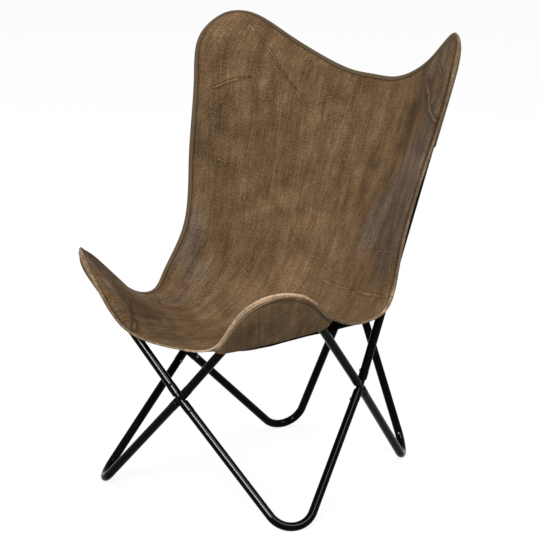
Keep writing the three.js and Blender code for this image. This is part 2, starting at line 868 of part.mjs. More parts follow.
// How many stations each pocket reaches from its wing's tip, towards the middle of the free edge
// and along the side
const backFreeCount = 5;
const backSideCount = 7;
const frontFreeCount = 8;
const frontSideCount = 5;
const { right, left } = loops;
const pockets = [
  ['pocket_back_right', right.back, rightBackTip, backFreeCount, backSideCount],
  ['pocket_front_right', right.front, rightFrontTip, frontSideCount, frontFreeCount],
  ['pocket_front_left', left.front, leftFrontTip, frontFreeCount, frontSideCount],
  ['pocket_back_left', left.back, leftBackTip, backSideCount, backFreeCount],
];
for (const [name, loop, tip, before, after] of pockets) {
  buildPocket(name, loop, tip - before, tip + after);
}

export default chair;
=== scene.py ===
"""The butterfly sling chair: a brown waxed-canvas sling on a frame of black bent tubes."""
import math

import bmesh
import bpy
import numpy as np
from mathutils import Matrix, Vector


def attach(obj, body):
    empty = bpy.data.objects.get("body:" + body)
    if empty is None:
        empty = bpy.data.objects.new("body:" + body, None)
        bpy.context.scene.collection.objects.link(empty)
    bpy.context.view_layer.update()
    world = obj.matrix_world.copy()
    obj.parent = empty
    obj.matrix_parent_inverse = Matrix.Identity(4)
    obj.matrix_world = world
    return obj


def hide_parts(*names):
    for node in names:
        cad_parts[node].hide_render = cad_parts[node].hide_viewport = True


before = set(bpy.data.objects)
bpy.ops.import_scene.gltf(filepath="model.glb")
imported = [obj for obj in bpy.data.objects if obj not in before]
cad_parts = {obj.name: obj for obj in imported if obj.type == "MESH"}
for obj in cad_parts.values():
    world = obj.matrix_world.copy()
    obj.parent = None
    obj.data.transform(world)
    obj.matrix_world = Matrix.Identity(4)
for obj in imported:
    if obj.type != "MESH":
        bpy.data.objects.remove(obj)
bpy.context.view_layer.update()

MM = 0.001

# Frame: corners where the straight legs of a bent tube would meet, on the right, the crossings, the
# bends' radii, and how deep a foot is pressed flat
TUBE_RADIUS = 9.5 * MM
BELL_RISE = 0.6 * MM
FRONT_LOOP_CORNER = np.array([305.5, -365, 574]) * MM
BACK_LOOP_CORNER = np.array([390, 256, 1237]) * MM
FRONT_FOOT_CORNER = np.array([294, -313, 0]) * MM
BACK_FOOT_CORNER = np.array([179, 285, 0]) * MM
FRONT_CROSS = np.array([0, -342.5, 254]) * MM
SIDE_CROSS = np.array([248, -24.5, 250.5]) * MM
BACK_CROSS = np.array([0, 301.5, 382.5]) * MM
FOOT_BEND = 54 * MM
FRONT_LOOP_BEND = 56 * MM
BACK_LOOP_BEND = 72 * MM
FOOT_FLAT = 1 * MM
FOOT_ROUNDS = 12
FIT_GAP = 0.3 * MM

# Crossing pieces and screws: a tube's mouth, its bell's end and its screw lie at distances from the
# crossing, and an arm of the crossing fits in its end
LEAST_MOUTH = 11 * MM
BELL_END = 40 * MM
NECK_RADIUS = 7.6 * MM
HUB_RADIUS = 1.06 * NECK_RADIUS
MOUTH_RADIUS = 0.8 * NECK_RADIUS
ARM_LENGTH = 50 * MM
SCREW_PLACE = 34 * MM
SCREW_HEAD = 4.2 * MM
SCREW_RISE = 2.4 * MM
SCREW_SUNK = 0.1 * MM
TUBE_SIDES = 28
ARM_SIDES = 24
WELT_SIDES = 10
SCREW_SIDES = 18

# A tube's belled end in millimetres: how far from its mouth and how much thinner than the bell,
# then the same at the bell's shoulder, measured back from where the bell ends
BELL_MOUTH = ((0.05, 1.1), (0.25, 0.45), (0.9, 0.05), (1.8, 0))
BELL_SHOULDER = ((-9, 0), (-6, 0.12), (-2, 0.5), (0, 0.6))

# A screw's head in shares of its radius and its rise, from its rim to the edge of its socket, and
# the socket's flats and floor
HEAD_RINGS = ((1.0, 0.0), (1.0, 0.22), (0.93, 0.5), (0.74, 0.82), (0.48, 1.0))
SOCKET_FLAT = 0.36
SOCKET_FLOOR = 0.35

# Sling: its thickness and how close points are welded
CLOTH = 1.8 * MM
PANEL_WELD = 0.4 * MM
POCKET_WELD = 0.3 * MM

# Its edge: where it lies by the tube's centre line, how far a full share moves it, and over what
# distance the cloth's rise over the tube runs out
EDGE_SEAT = 16.5 * MM
EDGE_LIFT = -2 * MM
EDGE_SWING = 150 * MM
EDGE_FADE = 4 * MM
TUBE_COVER = 11.4 * MM
TUBE_SOFTNESS = 3 * MM

# Distances in from the edge at which the cloth's own direction is measured
NEAR_EDGE = 12 * MM
CLOTH_STEP = 1 * MM

# How far from the edge folds start and reach their height, and how much of it their ends have lost
FOLD_START = 8 * MM
FOLD_FADE = 30 * MM
FOLD_END = 0.12
SLACK = 1.3 * MM

# Hem: the tape folded over the edge, its ridges, the seam line beside it in painted shade, flaps, welts and
# stitches
TAPE_OUTER = 4.4 * MM
TAPE_THICKNESS = 4.4 * MM
TAPE_GAP = 0.15 * MM
RIDGE_PITCH = 5.6 * MM
RIDGE_SLANT = 420
GROOVE_GAP = 1.3 * MM
GROOVE_WIDTH = 1.9 * MM
WELT_PLACE = 8.6 * MM
WELT_RADIUS = 1.7 * MM
FLAP_RUN_OUT = 28 * MM
STITCH_PITCH = 5 * MM
STITCH_LENGTH = 3.4 * MM
STITCH_THICKNESS = 0.9 * MM
STITCH_SMOOTHING = 20
FLAP_STEP = 0.8 * MM

# The middles of the top and the front edge, and the lowest place of the seat
TOP_MIDDLE = np.array([0, 375, 868]) * MM
FRONT_MIDDLE = np.array([0, -340, 364]) * MM
SEAT_LOW = np.array([0, -114, 335]) * MM

# Places of the sling's edge along a loop of tube, from the top middle to the front middle: the
# share of the leg from the loop's tip to its crossing, then shares of the edge's swing outwards
# from the tube and towards the sitter
RIGHT_BACK_SHARES = (
    (-0.348, 1, 0.37), (-0.26, 0.61, 0.14), (-0.143, 0.19, 0.05), (-0.055, 0.02, 0.035),
    (0.002, 0.02, 0.025), (0.055, 0, 0), (0.1, 0, 0), (0.207, 0.01, -0.004),
    (0.436, -0.02, 0.03), (0.654, 0.023, 0), (0.769, 0.27, 0.045),
)
RIGHT_FRONT_SHARES = (
    (0.621, 0.43, 0.313), (0.491, 0.223, 0.14), (0.26, 0.037, 0.027), (0.13, 0, 0),
    (0.012, 0, 0), (-0.085, 0.017, 0.013), (-0.253, 0.083, 0.02), (-0.502, 0.037, 0.007),
    (-0.639, 0.03, 0.16),
)
LEFT_BACK_SHARES = (
    (-0.342, 1.023, 0.393), (-0.248, 0.657, 0.167), (-0.133, 0.263, 0.04), (-0.057, 0.097, 0.02),
    (0.001, 0.037, 0.013), (0.058, -0.01, 0), (0.1, -0.014, 0), (0.209, -0.014, 0), (0.436, -0.007, 0),
    (0.652, 0.03, 0.007), (0.781, 0.3, 0.127),
)
LEFT_FRONT_SHARES = (
    (0.661, 0.33, 0.25), (0.535, 0.15, 0.062), (0.259, 0.057, 0.035), (0.13, 0.035, 0.02),
    (0.017, 0.057, 0.06), (-0.069, 0.037, 0.073), (-0.254, 0.057, 0.013), (-0.493, 0.063, -0.017),
    (-0.64, 0.043, 0.14),
)
BACK_TIP_POINT = 5
FRONT_TIP_POINT = 5

# The sling's middle line, as shares of the way along and up from its lowest point
BACK_LINE_SHARES = ((0.32, 0.045), (0.5, 0.17), (0.65, 0.365), (0.78, 0.585), (0.9, 0.79))
FRONT_LINE_SHARES = ((0.62, 0.36), (0.3, 0.05))

EDGE_SAMPLES = 8001
MIDDLE_SAMPLES = 1201

# Camera at the photograph's viewing angle
CAMERA_PLACE = np.array([2714.5, -3576.2, 1576.8]) * MM
CAMERA_YAW = 37.396
CAMERA_PITCH = -13.83
CAMERA_LENS = 136.89
SENSOR = 36


def unit(vector):
    return vector / np.maximum(np.linalg.norm(vector, axis=-1, keepdims=True), 1e-12)


def mirrored(point):
    return point * np.array([-1, 1, 1])


def distances_along(line):
    """How far along a line each of its points is."""
    return np.concatenate([[0], np.cumsum(np.linalg.norm(np.diff(line, axis=0), axis=1))])


def at_distances(wanted, distances, values):
    """Places or directions between those that a line has at its own distances."""
    return np.stack([np.interp(wanted, distances, values[:, k]) for k in range(3)], axis=-1)


# Where softening ends, as a multiple of how soft it is, and what it leaves at 0, as a share of that
SOFT_LIMIT = 20
SOFT_REST = 0.69


def softened(excess, soft):
    """The excess where it is well above 0, and a value that fades to nothing below 0."""
    over = excess / soft
    return soft * np.where(over > SOFT_LIMIT, over, np.log1p(np.exp(np.minimum(over, SOFT_LIMIT))))


# Materials
CLOTH_DARK = (0.067, 0.0405, 0.0205)
CLOTH_MIDDLE = (0.157, 0.095, 0.048)
CLOTH_PALE = (0.315, 0.206, 0.116)
CLOTH_GREY_DARK = (0.075, 0.052, 0.038)
CLOTH_GREY_PALE = (0.235, 0.168, 0.126)
# Painted shade in the seam line beside the hem and beside each pocket's welt
CLOTH_GROOVE_SHADE = (0.035, 0.022, 0.012)
# Paler crease colour, from scuffing and painted highlight
CLOTH_RUBBED_AND_LIT = (0.42, 0.3, 0.19)
# Painted shadow on the underside, behind the seat
CLOTH_PAINTED_SHADOW = (0.009, 0.007, 0.005)
TAPE_DARK = (0.07, 0.047, 0.027)
TAPE_BROWN = (0.17, 0.118, 0.07)
TAPE_TAN = (0.37, 0.255, 0.15)
# Palest tape colour, for scuffed places and painted highlight
TAPE_PALE = (0.66, 0.47, 0.3)
ENAMEL = (0.0016, 0.0016, 0.0017)
ENAMEL_DUST = (0.004, 0.0038, 0.0036)
STEEL_DARK = (0.09, 0.088, 0.085)
STEEL_PALE = (0.2, 0.195, 0.19)
THREAD_DARK = (0.05, 0.032, 0.018)
THREAD_PALE = (0.13, 0.085, 0.046)
WELT_DARK = (0.13, 0.084, 0.045)
WELT_PALE = (0.36, 0.25, 0.142)
CLOTH_SHEEN = 0.08
TAPE_SHEEN = 0.12
THREAD_SHEEN = 0.2
ENAMEL_SHEEN = 0.03
WEAVE_DEPTH = 0.5 * MM
WEAVE_STRENGTH = 0.6
CREASE_SWAY = 0.01
FAR_FROM_CREASES = 9.0

# The cloth's own places: metres from the middle line, measured at the wings' width, and metres
# up from the front edge along the middle line
CLOTH_HALF = 0.32
CLOTH_LENGTH = 1.02


def on_cloth(across, length):
    return (across * CLOTH_HALF, length * CLOTH_LENGTH)


# Creases and seam lines, each between two places given as shares across and along the sling,
# then how wide in millimetres; the creases are scuffed, with painted highlight and painted shade
SHARP_CREASES = (
    (0.56, 0.97, 0.66, 0.92, 3), (0.66, 0.92, 0.76, 0.875, 5), (0.76, 0.875, 0.92, 0.81, 5),
    (0.92, 0.81, 0.99, 0.78, 3), (0.78, 0.94, 0.925, 0.885, 2.6), (0.925, 0.885, 0.94, 0.85, 2.6),
    (0.94, 0.85, 0.9, 0.825, 2.6), (-0.76, 0.965, -0.44, 0.905, 1.6), (-0.91, 0.81, -0.82, 0.842, 1.8),
    (-0.82, 0.842, -0.72, 0.872, 1.8), (-0.66, 0.09, -0.5, 0.06, 3.2), (-0.5, 0.06, -0.33, 0.01, 3.6),
)
FAINT_CREASES = (
    (-0.84, 0.975, -0.72, 0.955, 1.8), (-0.47, 0.91, -0.37, 0.88, 1.8), (-0.75, 0.9, -0.62, 0.93, 2),
    (-0.68, 0.84, -0.58, 0.85, 1.8), (-0.2, 0.89, -0.05, 0.9, 1.8), (-0.34, 0.91, -0.2, 0.93, 1.8),
    (0.52, 0.56, 0.985, 0.495, 2.2), (-0.77, 0.238, -0.71, 0.205, 2), (0.06, 0.5, 0.5, 0.46, 2.4),
    (0.48, 0.462, 0.97, 0.39, 3), (0.19, 0.49, 0.26, 0.46, 2), (-0.6, 0.47, -0.47, 0.45, 2.2),
    (-0.73, 0.125, -0.6, 0.115, 2.4), (-0.74, 0.01, -0.62, 0.03, 2), (0.3, 0.6, 0.5, 0.58, 2),
    (-0.9, 0.66, -0.78, 0.67, 2),
)
SEAMS = ((-0.98, 0.29, -0.89, 0.272, 1.8), (-0.89, 0.272, -0.77, 0.238, 2))

# The lines on the face of the cloth: how far each kind tapers at its ends, how much paler than the
# cloth it is, from scuffing and painted highlight, or darker with a minus, and how much darker its
# margins are, in painted shade
FACE_LINES = ((SEAMS, 0.1, -0.5, 0.1), (FAINT_CREASES, 1.0, 0.5, 0.1), (SHARP_CREASES, 0.2, 0.5, 0.34))


def feed(tree, value, socket):
    """Links a socket to another one, or sets its value."""
    if isinstance(value, bpy.types.NodeSocket):
        tree.links.new(value, socket)
    else:
        socket.default_value = value


def connect(tree, node, **values):
    """Feeds a node's inputs by their names, written with an underscore for each space."""
    for label, value in values.items():
        feed(tree, value, node.inputs[label.replace("_", " ")])
    return node


def add_node(tree, kind, **values):
    return connect(tree, tree.nodes.new(kind), **values)


def use_group(tree, group, **values):
    node = tree.nodes.new("ShaderNodeGroup")
    node.node_tree = group
    return connect(tree, node, **values).outputs


def shader_group(name, inputs, outputs):
    """A group that takes places and numbers by their first values, and puts out numbers."""
    tree = bpy.data.node_groups.new(name, "ShaderNodeTree")
    for label, value in inputs.items():
        kind = "NodeSocketVector" if isinstance(value, tuple) else "NodeSocketFloat"
        socket = tree.interface.new_socket(name=label, in_out="INPUT", socket_type=kind)
        socket.default_value = value
    for label in outputs:
        tree.interface.new_socket(name=label, in_out="OUTPUT", socket_type="NodeSocketFloat")
    return tree, tree.nodes.new("NodeGroupInput").outputs, tree.nodes.new("NodeGroupOutput")


def math_node(tree, operation, *values, clamp=False):
    node = tree.nodes.new("ShaderNodeMath")
    node.operation = operation
    node.use_clamp = clamp
    for value, socket in zip(values, node.inputs):
        feed(tree, value, socket)
    return node.outputs[0]


def plus(tree, first, second, clamp=False):
    return math_node(tree, "ADD", first, second, clamp=clamp)


def minus(tree, first, second):
    return math_node(tree, "SUBTRACT", first, second)


def times(tree, first, second, clamp=False):
    return math_node(tree, "MULTIPLY", first, second, clamp=clamp)


def weighted_sum(tree, parts):
    """Adds up masks, each times its weight."""
    (first, weight), *others = parts
    total = times(tree, first, weight)
    for part, weight in others:
        total = plus(tree, total, times(tree, part, weight))
    return total


def vector_node(tree, operation, *values, **named_values):
    node = tree.nodes.new("ShaderNodeVectorMath")
    node.operation = operation
    for value, socket in zip(values, node.inputs):
        feed(tree, value, socket)
    connect(tree, node, **named_values)
    return node.outputs["Value" if operation in ("DOT_PRODUCT", "LENGTH") else "Vector"]


def ramp_node(tree, value, low, high, out_low=0.0, out_high=1.0):
    node = add_node(tree, "ShaderNodeMapRange", Value=value, From_Min=low, From_Max=high,
                    To_Min=out_low, To_Max=out_high)
    node.interpolation_type = "SMOOTHSTEP"
    return node.outputs["Result"]


def mix_colour(tree, factor, first, second):
    node = tree.nodes.new("ShaderNodeMix")
    node.data_type = "RGBA"
    sockets = {socket.identifier: socket for socket in node.inputs}
    feed(tree, factor, sockets["Factor_Float"])
    for label, value in (("A_Color", first), ("B_Color", second)):
        feed(tree, (*value, 1) if isinstance(value, tuple) else value, sockets[label])
    return next(s for s in node.outputs if s.identifier == "Result_Color")


def noise_node(tree, vector, scale, detail=3.0, roughness=0.55, output="Fac"):
    node = add_node(tree, "ShaderNodeTexNoise", Vector=vector, Scale=scale, Detail=detail,
                    Roughness=roughness)
    return node.outputs[output]


def stretched(tree, vector, stretch):
    return add_node(tree, "ShaderNodeMapping", Vector=vector, Scale=stretch).outputs["Vector"]


def weave_bump(tree, height):
    node = add_node(tree, "ShaderNodeBump", Height=height, Strength=WEAVE_STRENGTH, Distance=WEAVE_DEPTH)
    return node.outputs["Normal"]


def make_weave_group():
    """Plain weave of slubby thread on the piece's own UV map, whose unit is a metre."""
    tree, source, sink = shader_group(
        "Canvas weave", {"UV": (0, 0, 0), "Threads": 900.0, "Ribs": 230.0, "Slub": 0.5},
        ("Height", "Streaks", "Cross", "Ribs", "Grain", "Bands"))
    uv = source["UV"]
    parts = add_node(tree, "ShaderNodeSeparateXYZ", Vector=uv).outputs
    turns = times(tree, source["Threads"], 2 * math.pi)
    warp = math_node(tree, "SINE", times(tree, parts["X"], turns))
    weft = math_node(tree, "SINE", times(tree, parts["Y"], turns))
    streaks = noise_node(tree, stretched(tree, uv, (1, 0.07, 1)), 230.0, 5.0, 0.66)
    cross = noise_node(tree, stretched(tree, uv, (0.2, 1, 1)), 260.0, 3.0, 0.6)
    grain = noise_node(tree, uv, 300.0, 3.0, 0.72)
    bands = noise_node(tree, stretched(tree, uv, (1, 0.1, 1)), 42.0, 3.0, 0.6)
    sway = times(tree, noise_node(tree, uv, 14.0, 2.0), 2.6)
    rib_turns = times(tree, source["Ribs"], 2 * math.pi)
    rib = math_node(tree, "SINE", plus(tree, times(tree, parts["X"], rib_turns), sway))
    kept = ramp_node(tree, noise_node(tree, stretched(tree, uv, (1, 0.3, 1)), 34.0), 0.42, 0.66)
    ribs = times(tree, rib, kept)
    slubs = plus(tree, plus(tree, streaks, cross), grain)
    height = weighted_sum(tree, ((times(tree, warp, weft), 0.22), (slubs, source["Slub"]), (ribs, 0.2)))
    connect(tree, sink, Height=height, Streaks=streaks, Cross=cross, Ribs=ribs, Grain=grain, Bands=bands)
    return tree


def make_crease_group():
    """How far a place on the UV map is from a line that tapers at both ends, in widths of it."""
    tree, source, sink = shader_group(
        "Crease line",
        {"UV": (0, 0, 0), "Start": (0, 0, 0), "End": (0.1, 0, 0), "Width": 0.002, "Taper": 1.0}, ("Gap",))
    away = vector_node(tree, "SUBTRACT", source["UV"], source["Start"])
    run = vector_node(tree, "SUBTRACT", source["End"], source["Start"])
    share = math_node(tree, "DIVIDE", vector_node(tree, "DOT_PRODUCT", away, run),
                      vector_node(tree, "DOT_PRODUCT", run, run))
    nearest = vector_node(tree, "SCALE", run, Scale=math_node(tree, "MAXIMUM", share, 0.0, clamp=True))
    distance = vector_node(tree, "LENGTH", vector_node(tree, "SUBTRACT", away, nearest))
    from_middle = math_node(tree, "ABSOLUTE", minus(tree, share, 0.5))
    taper = times(tree, ramp_node(tree, from_middle, 0.25, 0.52), source["Taper"])
    connect(tree, sink, Gap=plus(tree, math_node(tree, "DIVIDE", distance, source["Width"]), taper))
    return tree


def make_wear_group():
    """A mask of rubbed places, from broad and fine noise."""
    tree, source, sink = shader_group(
        "Rubbed patches", {"Vector": (0, 0, 0), "Low": 0.45, "High": 0.65}, ("Mask",))
    broad = noise_node(tree, source["Vector"], 9.0, 5.0, 0.6)
    fine = noise_node(tree, source["Vector"], 60.0, 4.0, 0.65)
    both = weighted_sum(tree, ((broad, 0.7), (fine, 0.3)))
    connect(tree, sink, Mask=ramp_node(tree, both, source["Low"], source["High"]))
    return tree


WEAVE = make_weave_group()
WEAR = make_wear_group()
CREASE = make_crease_group()


def new_material(name):
    material = bpy.data.materials.new(name)
    material.use_nodes = True
    return material, material.node_tree, material.node_tree.nodes["Principled BSDF"]


def object_place(tree):
    return tree.nodes.new("ShaderNodeTexCoord").outputs["Object"]


def attribute(tree, name):
    node = tree.nodes.new("ShaderNodeAttribute")
    node.attribute_name = name
    return node.outputs["Fac"]


def uv_place(tree):
    node = tree.nodes.new("ShaderNodeUVMap")
    node.uv_map = "cloth"
    return node.outputs["UV"]


def crease_masks(tree, uv, creases, taper):
    """Two masks of lines that wander a little over the cloth: the lines and their margins."""
    wander = noise_node(tree, uv, 22.0, 2.0, 0.5, "Color")
    centred = vector_node(tree, "SUBTRACT", wander, (0.5, 0.5, 0.5))
    swayed = vector_node(tree, "ADD", uv, vector_node(tree, "SCALE", centred, Scale=CREASE_SWAY))
    gap = FAR_FROM_CREASES
    for *ends, wide in creases:
        line = use_group(tree, CREASE, UV=swayed, Start=(*on_cloth(*ends[:2]), 0),
                         End=(*on_cloth(*ends[2:]), 0), Width=wide * MM, Taper=taper)
        gap = math_node(tree, "MINIMUM", line["Gap"], gap)
    return ramp_node(tree, gap, 1.0, 0.0), ramp_node(tree, gap, 3.4, 1.0)


def make_cloth_material(name, lines=(), shade=0.83, shadowed_underside=False):
    """Brown waxed canvas: warp streaks, rubbed patches, greyer places, creases, painted light and shade."""
    material, tree, shader = new_material(name)
    uv = uv_place(tree)
    place = object_place(tree)
    weave = use_group(tree, WEAVE, UV=uv, Threads=640.0, Ribs=235.0, Slub=0.7)
    patches = use_group(tree, WEAR, Vector=place, Low=0.38, High=0.66)
    blots = noise_node(tree, place, 16.0, 5.0, 0.6)
    level = weighted_sum(tree, (
        (ramp_node(tree, weave["Streaks"], 0.3, 0.7), 0.27),
        (ramp_node(tree, weave["Cross"], 0.32, 0.68), 0.12),
        (weave["Ribs"], 0.085),
        (patches["Mask"], 0.24),
        (ramp_node(tree, weave["Grain"], 0.32, 0.68), 0.48),
        (ramp_node(tree, weave["Bands"], 0.34, 0.66), 0.2),
        (ramp_node(tree, blots, 0.3, 0.7), 0.2),
    ))
    level = plus(tree, level, minus(tree, attribute(tree, "tone"), shade), clamp=True)
    # Crease lines paler from scuffing and painted highlight, their margins darker with painted shade
    for creases, taper, paler, darker in lines:
        rubbed, shaded_margin = crease_masks(tree, uv, creases, taper)
        level = minus(tree, level, times(tree, shaded_margin, darker))
        level = plus(tree, level, times(tree, rubbed, paler), clamp=True)
    lower = mix_colour(tree, ramp_node(tree, level, 0.0, 0.5), CLOTH_DARK, CLOTH_MIDDLE)
    colour = mix_colour(tree, ramp_node(tree, level, 0.45, 1.0), lower, CLOTH_PALE)
    broken = ramp_node(tree, plus(tree, attribute(tree, "grey"), times(tree, blots, 0.5)), 0.45, 1.0)
    greys = mix_colour(tree, ramp_node(tree, level, 0.0, 1.0), CLOTH_GREY_DARK, CLOTH_GREY_PALE)
    colour = mix_colour(tree, times(tree, broken, 0.8), colour, greys)
    # Paler crease colour, from scuffing and painted highlight
    if lines:
        colour = mix_colour(tree, times(tree, rubbed, 0.3), colour, CLOTH_RUBBED_AND_LIT)
    # Painted shade in the seam line beside the hem, and beside a pocket's welt
    colour = mix_colour(tree, times(tree, attribute(tree, "groove_shade"), 0.75), colour, CLOTH_GROOVE_SHADE)
    # Painted shadow on the underside, behind the seat
    if shadowed_underside:
        colour = mix_colour(tree, attribute(tree, "under_seat_shadow"), colour, CLOTH_PAINTED_SHADOW)
    connect(tree, shader, Base_Color=colour, Roughness=ramp_node(tree, level, 0.0, 1.0, 0.7, 0.52),
            Specular_IOR_Level=0.0 if shadowed_underside else CLOTH_SHEEN, Normal=weave_bump(tree, weave["Height"]))
    return material


def make_tape_material():
    """Folded tape along the edge: brown in its hollows, pale on ridges that are scuffed and painted lit."""
    material, tree, shader = new_material("worn edge tape")
    uv = uv_place(tree)
    wear_and_highlight = attribute(tree, "wear_and_highlight")
    patches = use_group(tree, WEAR, Vector=object_place(tree), Low=0.34, High=0.7)
    grain = noise_node(tree, uv, 420.0, 4.0, 0.7)
    mottle = noise_node(tree, stretched(tree, uv, (1, 0.5, 1)), 150.0, 4.0, 0.65)
    # Paleness from scuffing, and painted highlight where it runs high on the front; paler ridge crests
    ticks = times(tree, attribute(tree, "ridge"), ramp_node(tree, wear_and_highlight, 0.5, 1.2, 0.06, 0.55))
    crest = plus(tree, ticks, plus(tree, mottle, times(tree, grain, 0.4)))
    rubbed = times(tree, wear_and_highlight, plus(tree, 0.45, patches["Mask"]))
    worn_and_lit = times(tree, plus(tree, 0.16, ramp_node(tree, crest, 0.5, 1.15)), rubbed, clamp=True)
    colour = mix_colour(tree, grain, TAPE_DARK, TAPE_BROWN)
    colour = mix_colour(tree, ramp_node(tree, worn_and_lit, 0.0, 0.8), colour, TAPE_TAN)
    colour = mix_colour(tree, ramp_node(tree, worn_and_lit, 0.55, 0.9), colour, TAPE_PALE)
    connect(tree, shader, Base_Color=colour, Roughness=ramp_node(tree, worn_and_lit, 0.0, 1.0, 0.66, 0.48),
            Specular_IOR_Level=TAPE_SHEEN, Normal=weave_bump(tree, grain))
    return material


def make_thread_material(name, dark, pale):
    material, tree, shader = new_material(name)
    grain = ramp_node(tree, noise_node(tree, object_place(tree), 420.0, 4.0), 0.3, 0.7)
    connect(tree, shader, Base_Color=mix_colour(tree, grain, dark, pale), Roughness=0.6,
            Specular_IOR_Level=THREAD_SHEEN)
    return material


def make_paint_material():
    """Gloss black enamel with settled dust and a few rubbed places."""
    material, tree, shader = new_material("gloss black enamel")
    dust = use_group(tree, WEAR, Vector=object_place(tree), Low=0.5, High=0.85)["Mask"]
    connect(tree, shader, Base_Color=mix_colour(tree, dust, ENAMEL, ENAMEL_DUST),
            Roughness=ramp_node(tree, dust, 0.0, 1.0, 0.09, 0.13), Specular_IOR_Level=ENAMEL_SHEEN)
    return material


def make_screw_material():
    material, tree, shader = new_material("dull plated steel")
    grain = noise_node(tree, object_place(tree), 1800.0)
    connect(tree, shader, Base_Color=mix_colour(tree, grain, STEEL_DARK, STEEL_PALE), Metallic=1.0,
            Roughness=ramp_node(tree, grain, 0.2, 0.8, 0.3, 0.5))
    return material


PAINT = make_paint_material()
SCREW_STEEL = make_screw_material()
CLOTH_FACE = make_cloth_material("brown waxed canvas", FACE_LINES)
# The underside is painted darker all over as shade, and carries the painted shadow behind the seat
CLOTH_UNDER = make_cloth_material("brown waxed canvas, underside", shade=1.0, shadowed_underside=True)
POCKET_FACE = make_cloth_material("brown waxed canvas, pockets")
TAPE = make_tape_material()
THREAD = make_thread_material("waxed thread", THREAD_DARK, THREAD_PALE)
WELT = make_thread_material("brown welt", WELT_DARK, WELT_PALE)


# Meshes

def mesh_object(name, points, faces=(), edges=()):
    mesh = bpy.data.meshes.new(name)
    mesh.from_pydata([tuple(p) for p in points], edges, faces)
    mesh.update()
    piece = bpy.data.objects.new(name, mesh)
    bpy.context.scene.collection.objects.link(piece)
    return piece


def grid_faces(rows, count, closed):
    """Faces between rows of points, each row with the same count of them, in a ring if closed."""
    nexts = [(i, (i + 1) % count) for i in range(count if closed else count - 1)]
    return [(j * count + i, j * count + k, (j + 1) * count + k, (j + 1) * count + i)
            for j in range(rows - 1) for i, k in nexts]


def band_mesh(name, rings):
    """A skin over rings of points, closed at both ends."""
    count, sides, _ = rings.shape
    faces = grid_faces(count, sides, True)
    faces.append(tuple(range(sides))[::-1])
    faces.append(tuple((count - 1) * sides + k for k in range(sides)))
    return mesh_object(name, rings.reshape(-1, 3), faces)


def add_attribute(piece, name, values, kind="FLOAT"):
    layer = piece.data.attributes.new(name, kind, "POINT")
    flat = np.asarray(values, dtype=np.float32).ravel()
    layer.data.foreach_set("vector" if kind == "FLOAT_VECTOR" else "value", flat)


def add_cloth_uv(piece, uv):
    layer = piece.data.uv_layers.new(name="cloth")
    corners = np.empty(len(piece.data.loops), dtype=np.int32)
    piece.data.loops.foreach_get("vertex_index", corners)
    layer.data.foreach_set("uv", np.asarray(uv, dtype=np.float32)[corners].ravel())


def smooth(piece):
    piece.data.polygons.foreach_set("use_smooth", [True] * len(piece.data.polygons))
    piece.data.update()


def close_net(piece, gap):
    """Welds points closer than the gap, turns all faces one way, and gives the net's area."""
    work = bmesh.new()
    work.from_mesh(piece.data)
    bmesh.ops.remove_doubles(work, verts=work.verts, dist=gap)
    bmesh.ops.recalc_face_normals(work, faces=work.faces)
    area = sum(face.calc_area() for face in work.faces)
    work.to_mesh(piece.data)
    work.free()
    smooth(piece)
    return area


def baked(piece, name):
    """The evaluated piece as a plain mesh, with its modifiers gone."""
    graph = bpy.context.evaluated_depsgraph_get()
    mesh = bpy.data.meshes.new_from_object(piece.evaluated_get(graph))
    mesh.name = name
    done = bpy.data.objects.new(name, mesh)
    bpy.context.scene.collection.objects.link(done)
    bpy.data.objects.remove(piece)
    return done


def thickened(piece, name, thickness):
    """The sheet as a wall of a thickness; a second material, if it has one, is on its underside."""
    wall = piece.modifiers.new("wall", "SOLIDIFY")
    wall.material_offset = 1
    wall.thickness = thickness
    wall.offset = 0
    wall.use_even_offset = False
    return baked(piece, name)


# Frame

class BentLine:
    """A tube's centre line: two straight legs and the round bend between them."""

    def __init__(self, start, corner, finish, radius):
        to_start = unit(start - corner)
        to_finish = unit(finish - corner)
        self.half = math.acos(np.clip(to_start @ to_finish, -1, 1)) / 2
        self.inwards = unit(to_start + to_finish)
        self.centre = corner + self.inwards * radius / math.sin(self.half)
        self.sideways = unit(to_start - self.inwards * (to_start @ self.inwards))
        self.radius = radius
        self.sweep = math.pi / 2 - self.half
        self.start = start
        self.finish = finish

    def bend_point(self, angle):
        return (self.centre - self.inwards * self.radius * math.cos(angle)
                + self.sideways * self.radius * math.sin(angle))

    def lowest(self):
        normal = np.cross(self.inwards, self.sideways)
        return self.centre[2] - self.radius * math.sqrt(1 - normal[2] ** 2)

    def points(self, steps=40):
        bend = [self.bend_point(self.sweep * (1 - 2 * i / steps)) for i in range(steps + 1)]
        return np.array([self.start, *bend, self.finish])


def standing_corner(corner, cross_a, cross_b):
    """A foot's corner at the height that lets its bend press flat on the floor."""
    corner = corner.copy()
    for _ in range(FOOT_ROUNDS):
        line = BentLine(cross_a, corner, cross_b, FOOT_BEND)
        corner[2] += TUBE_RADIUS - FOOT_FLAT - line.lowest()
    return corner


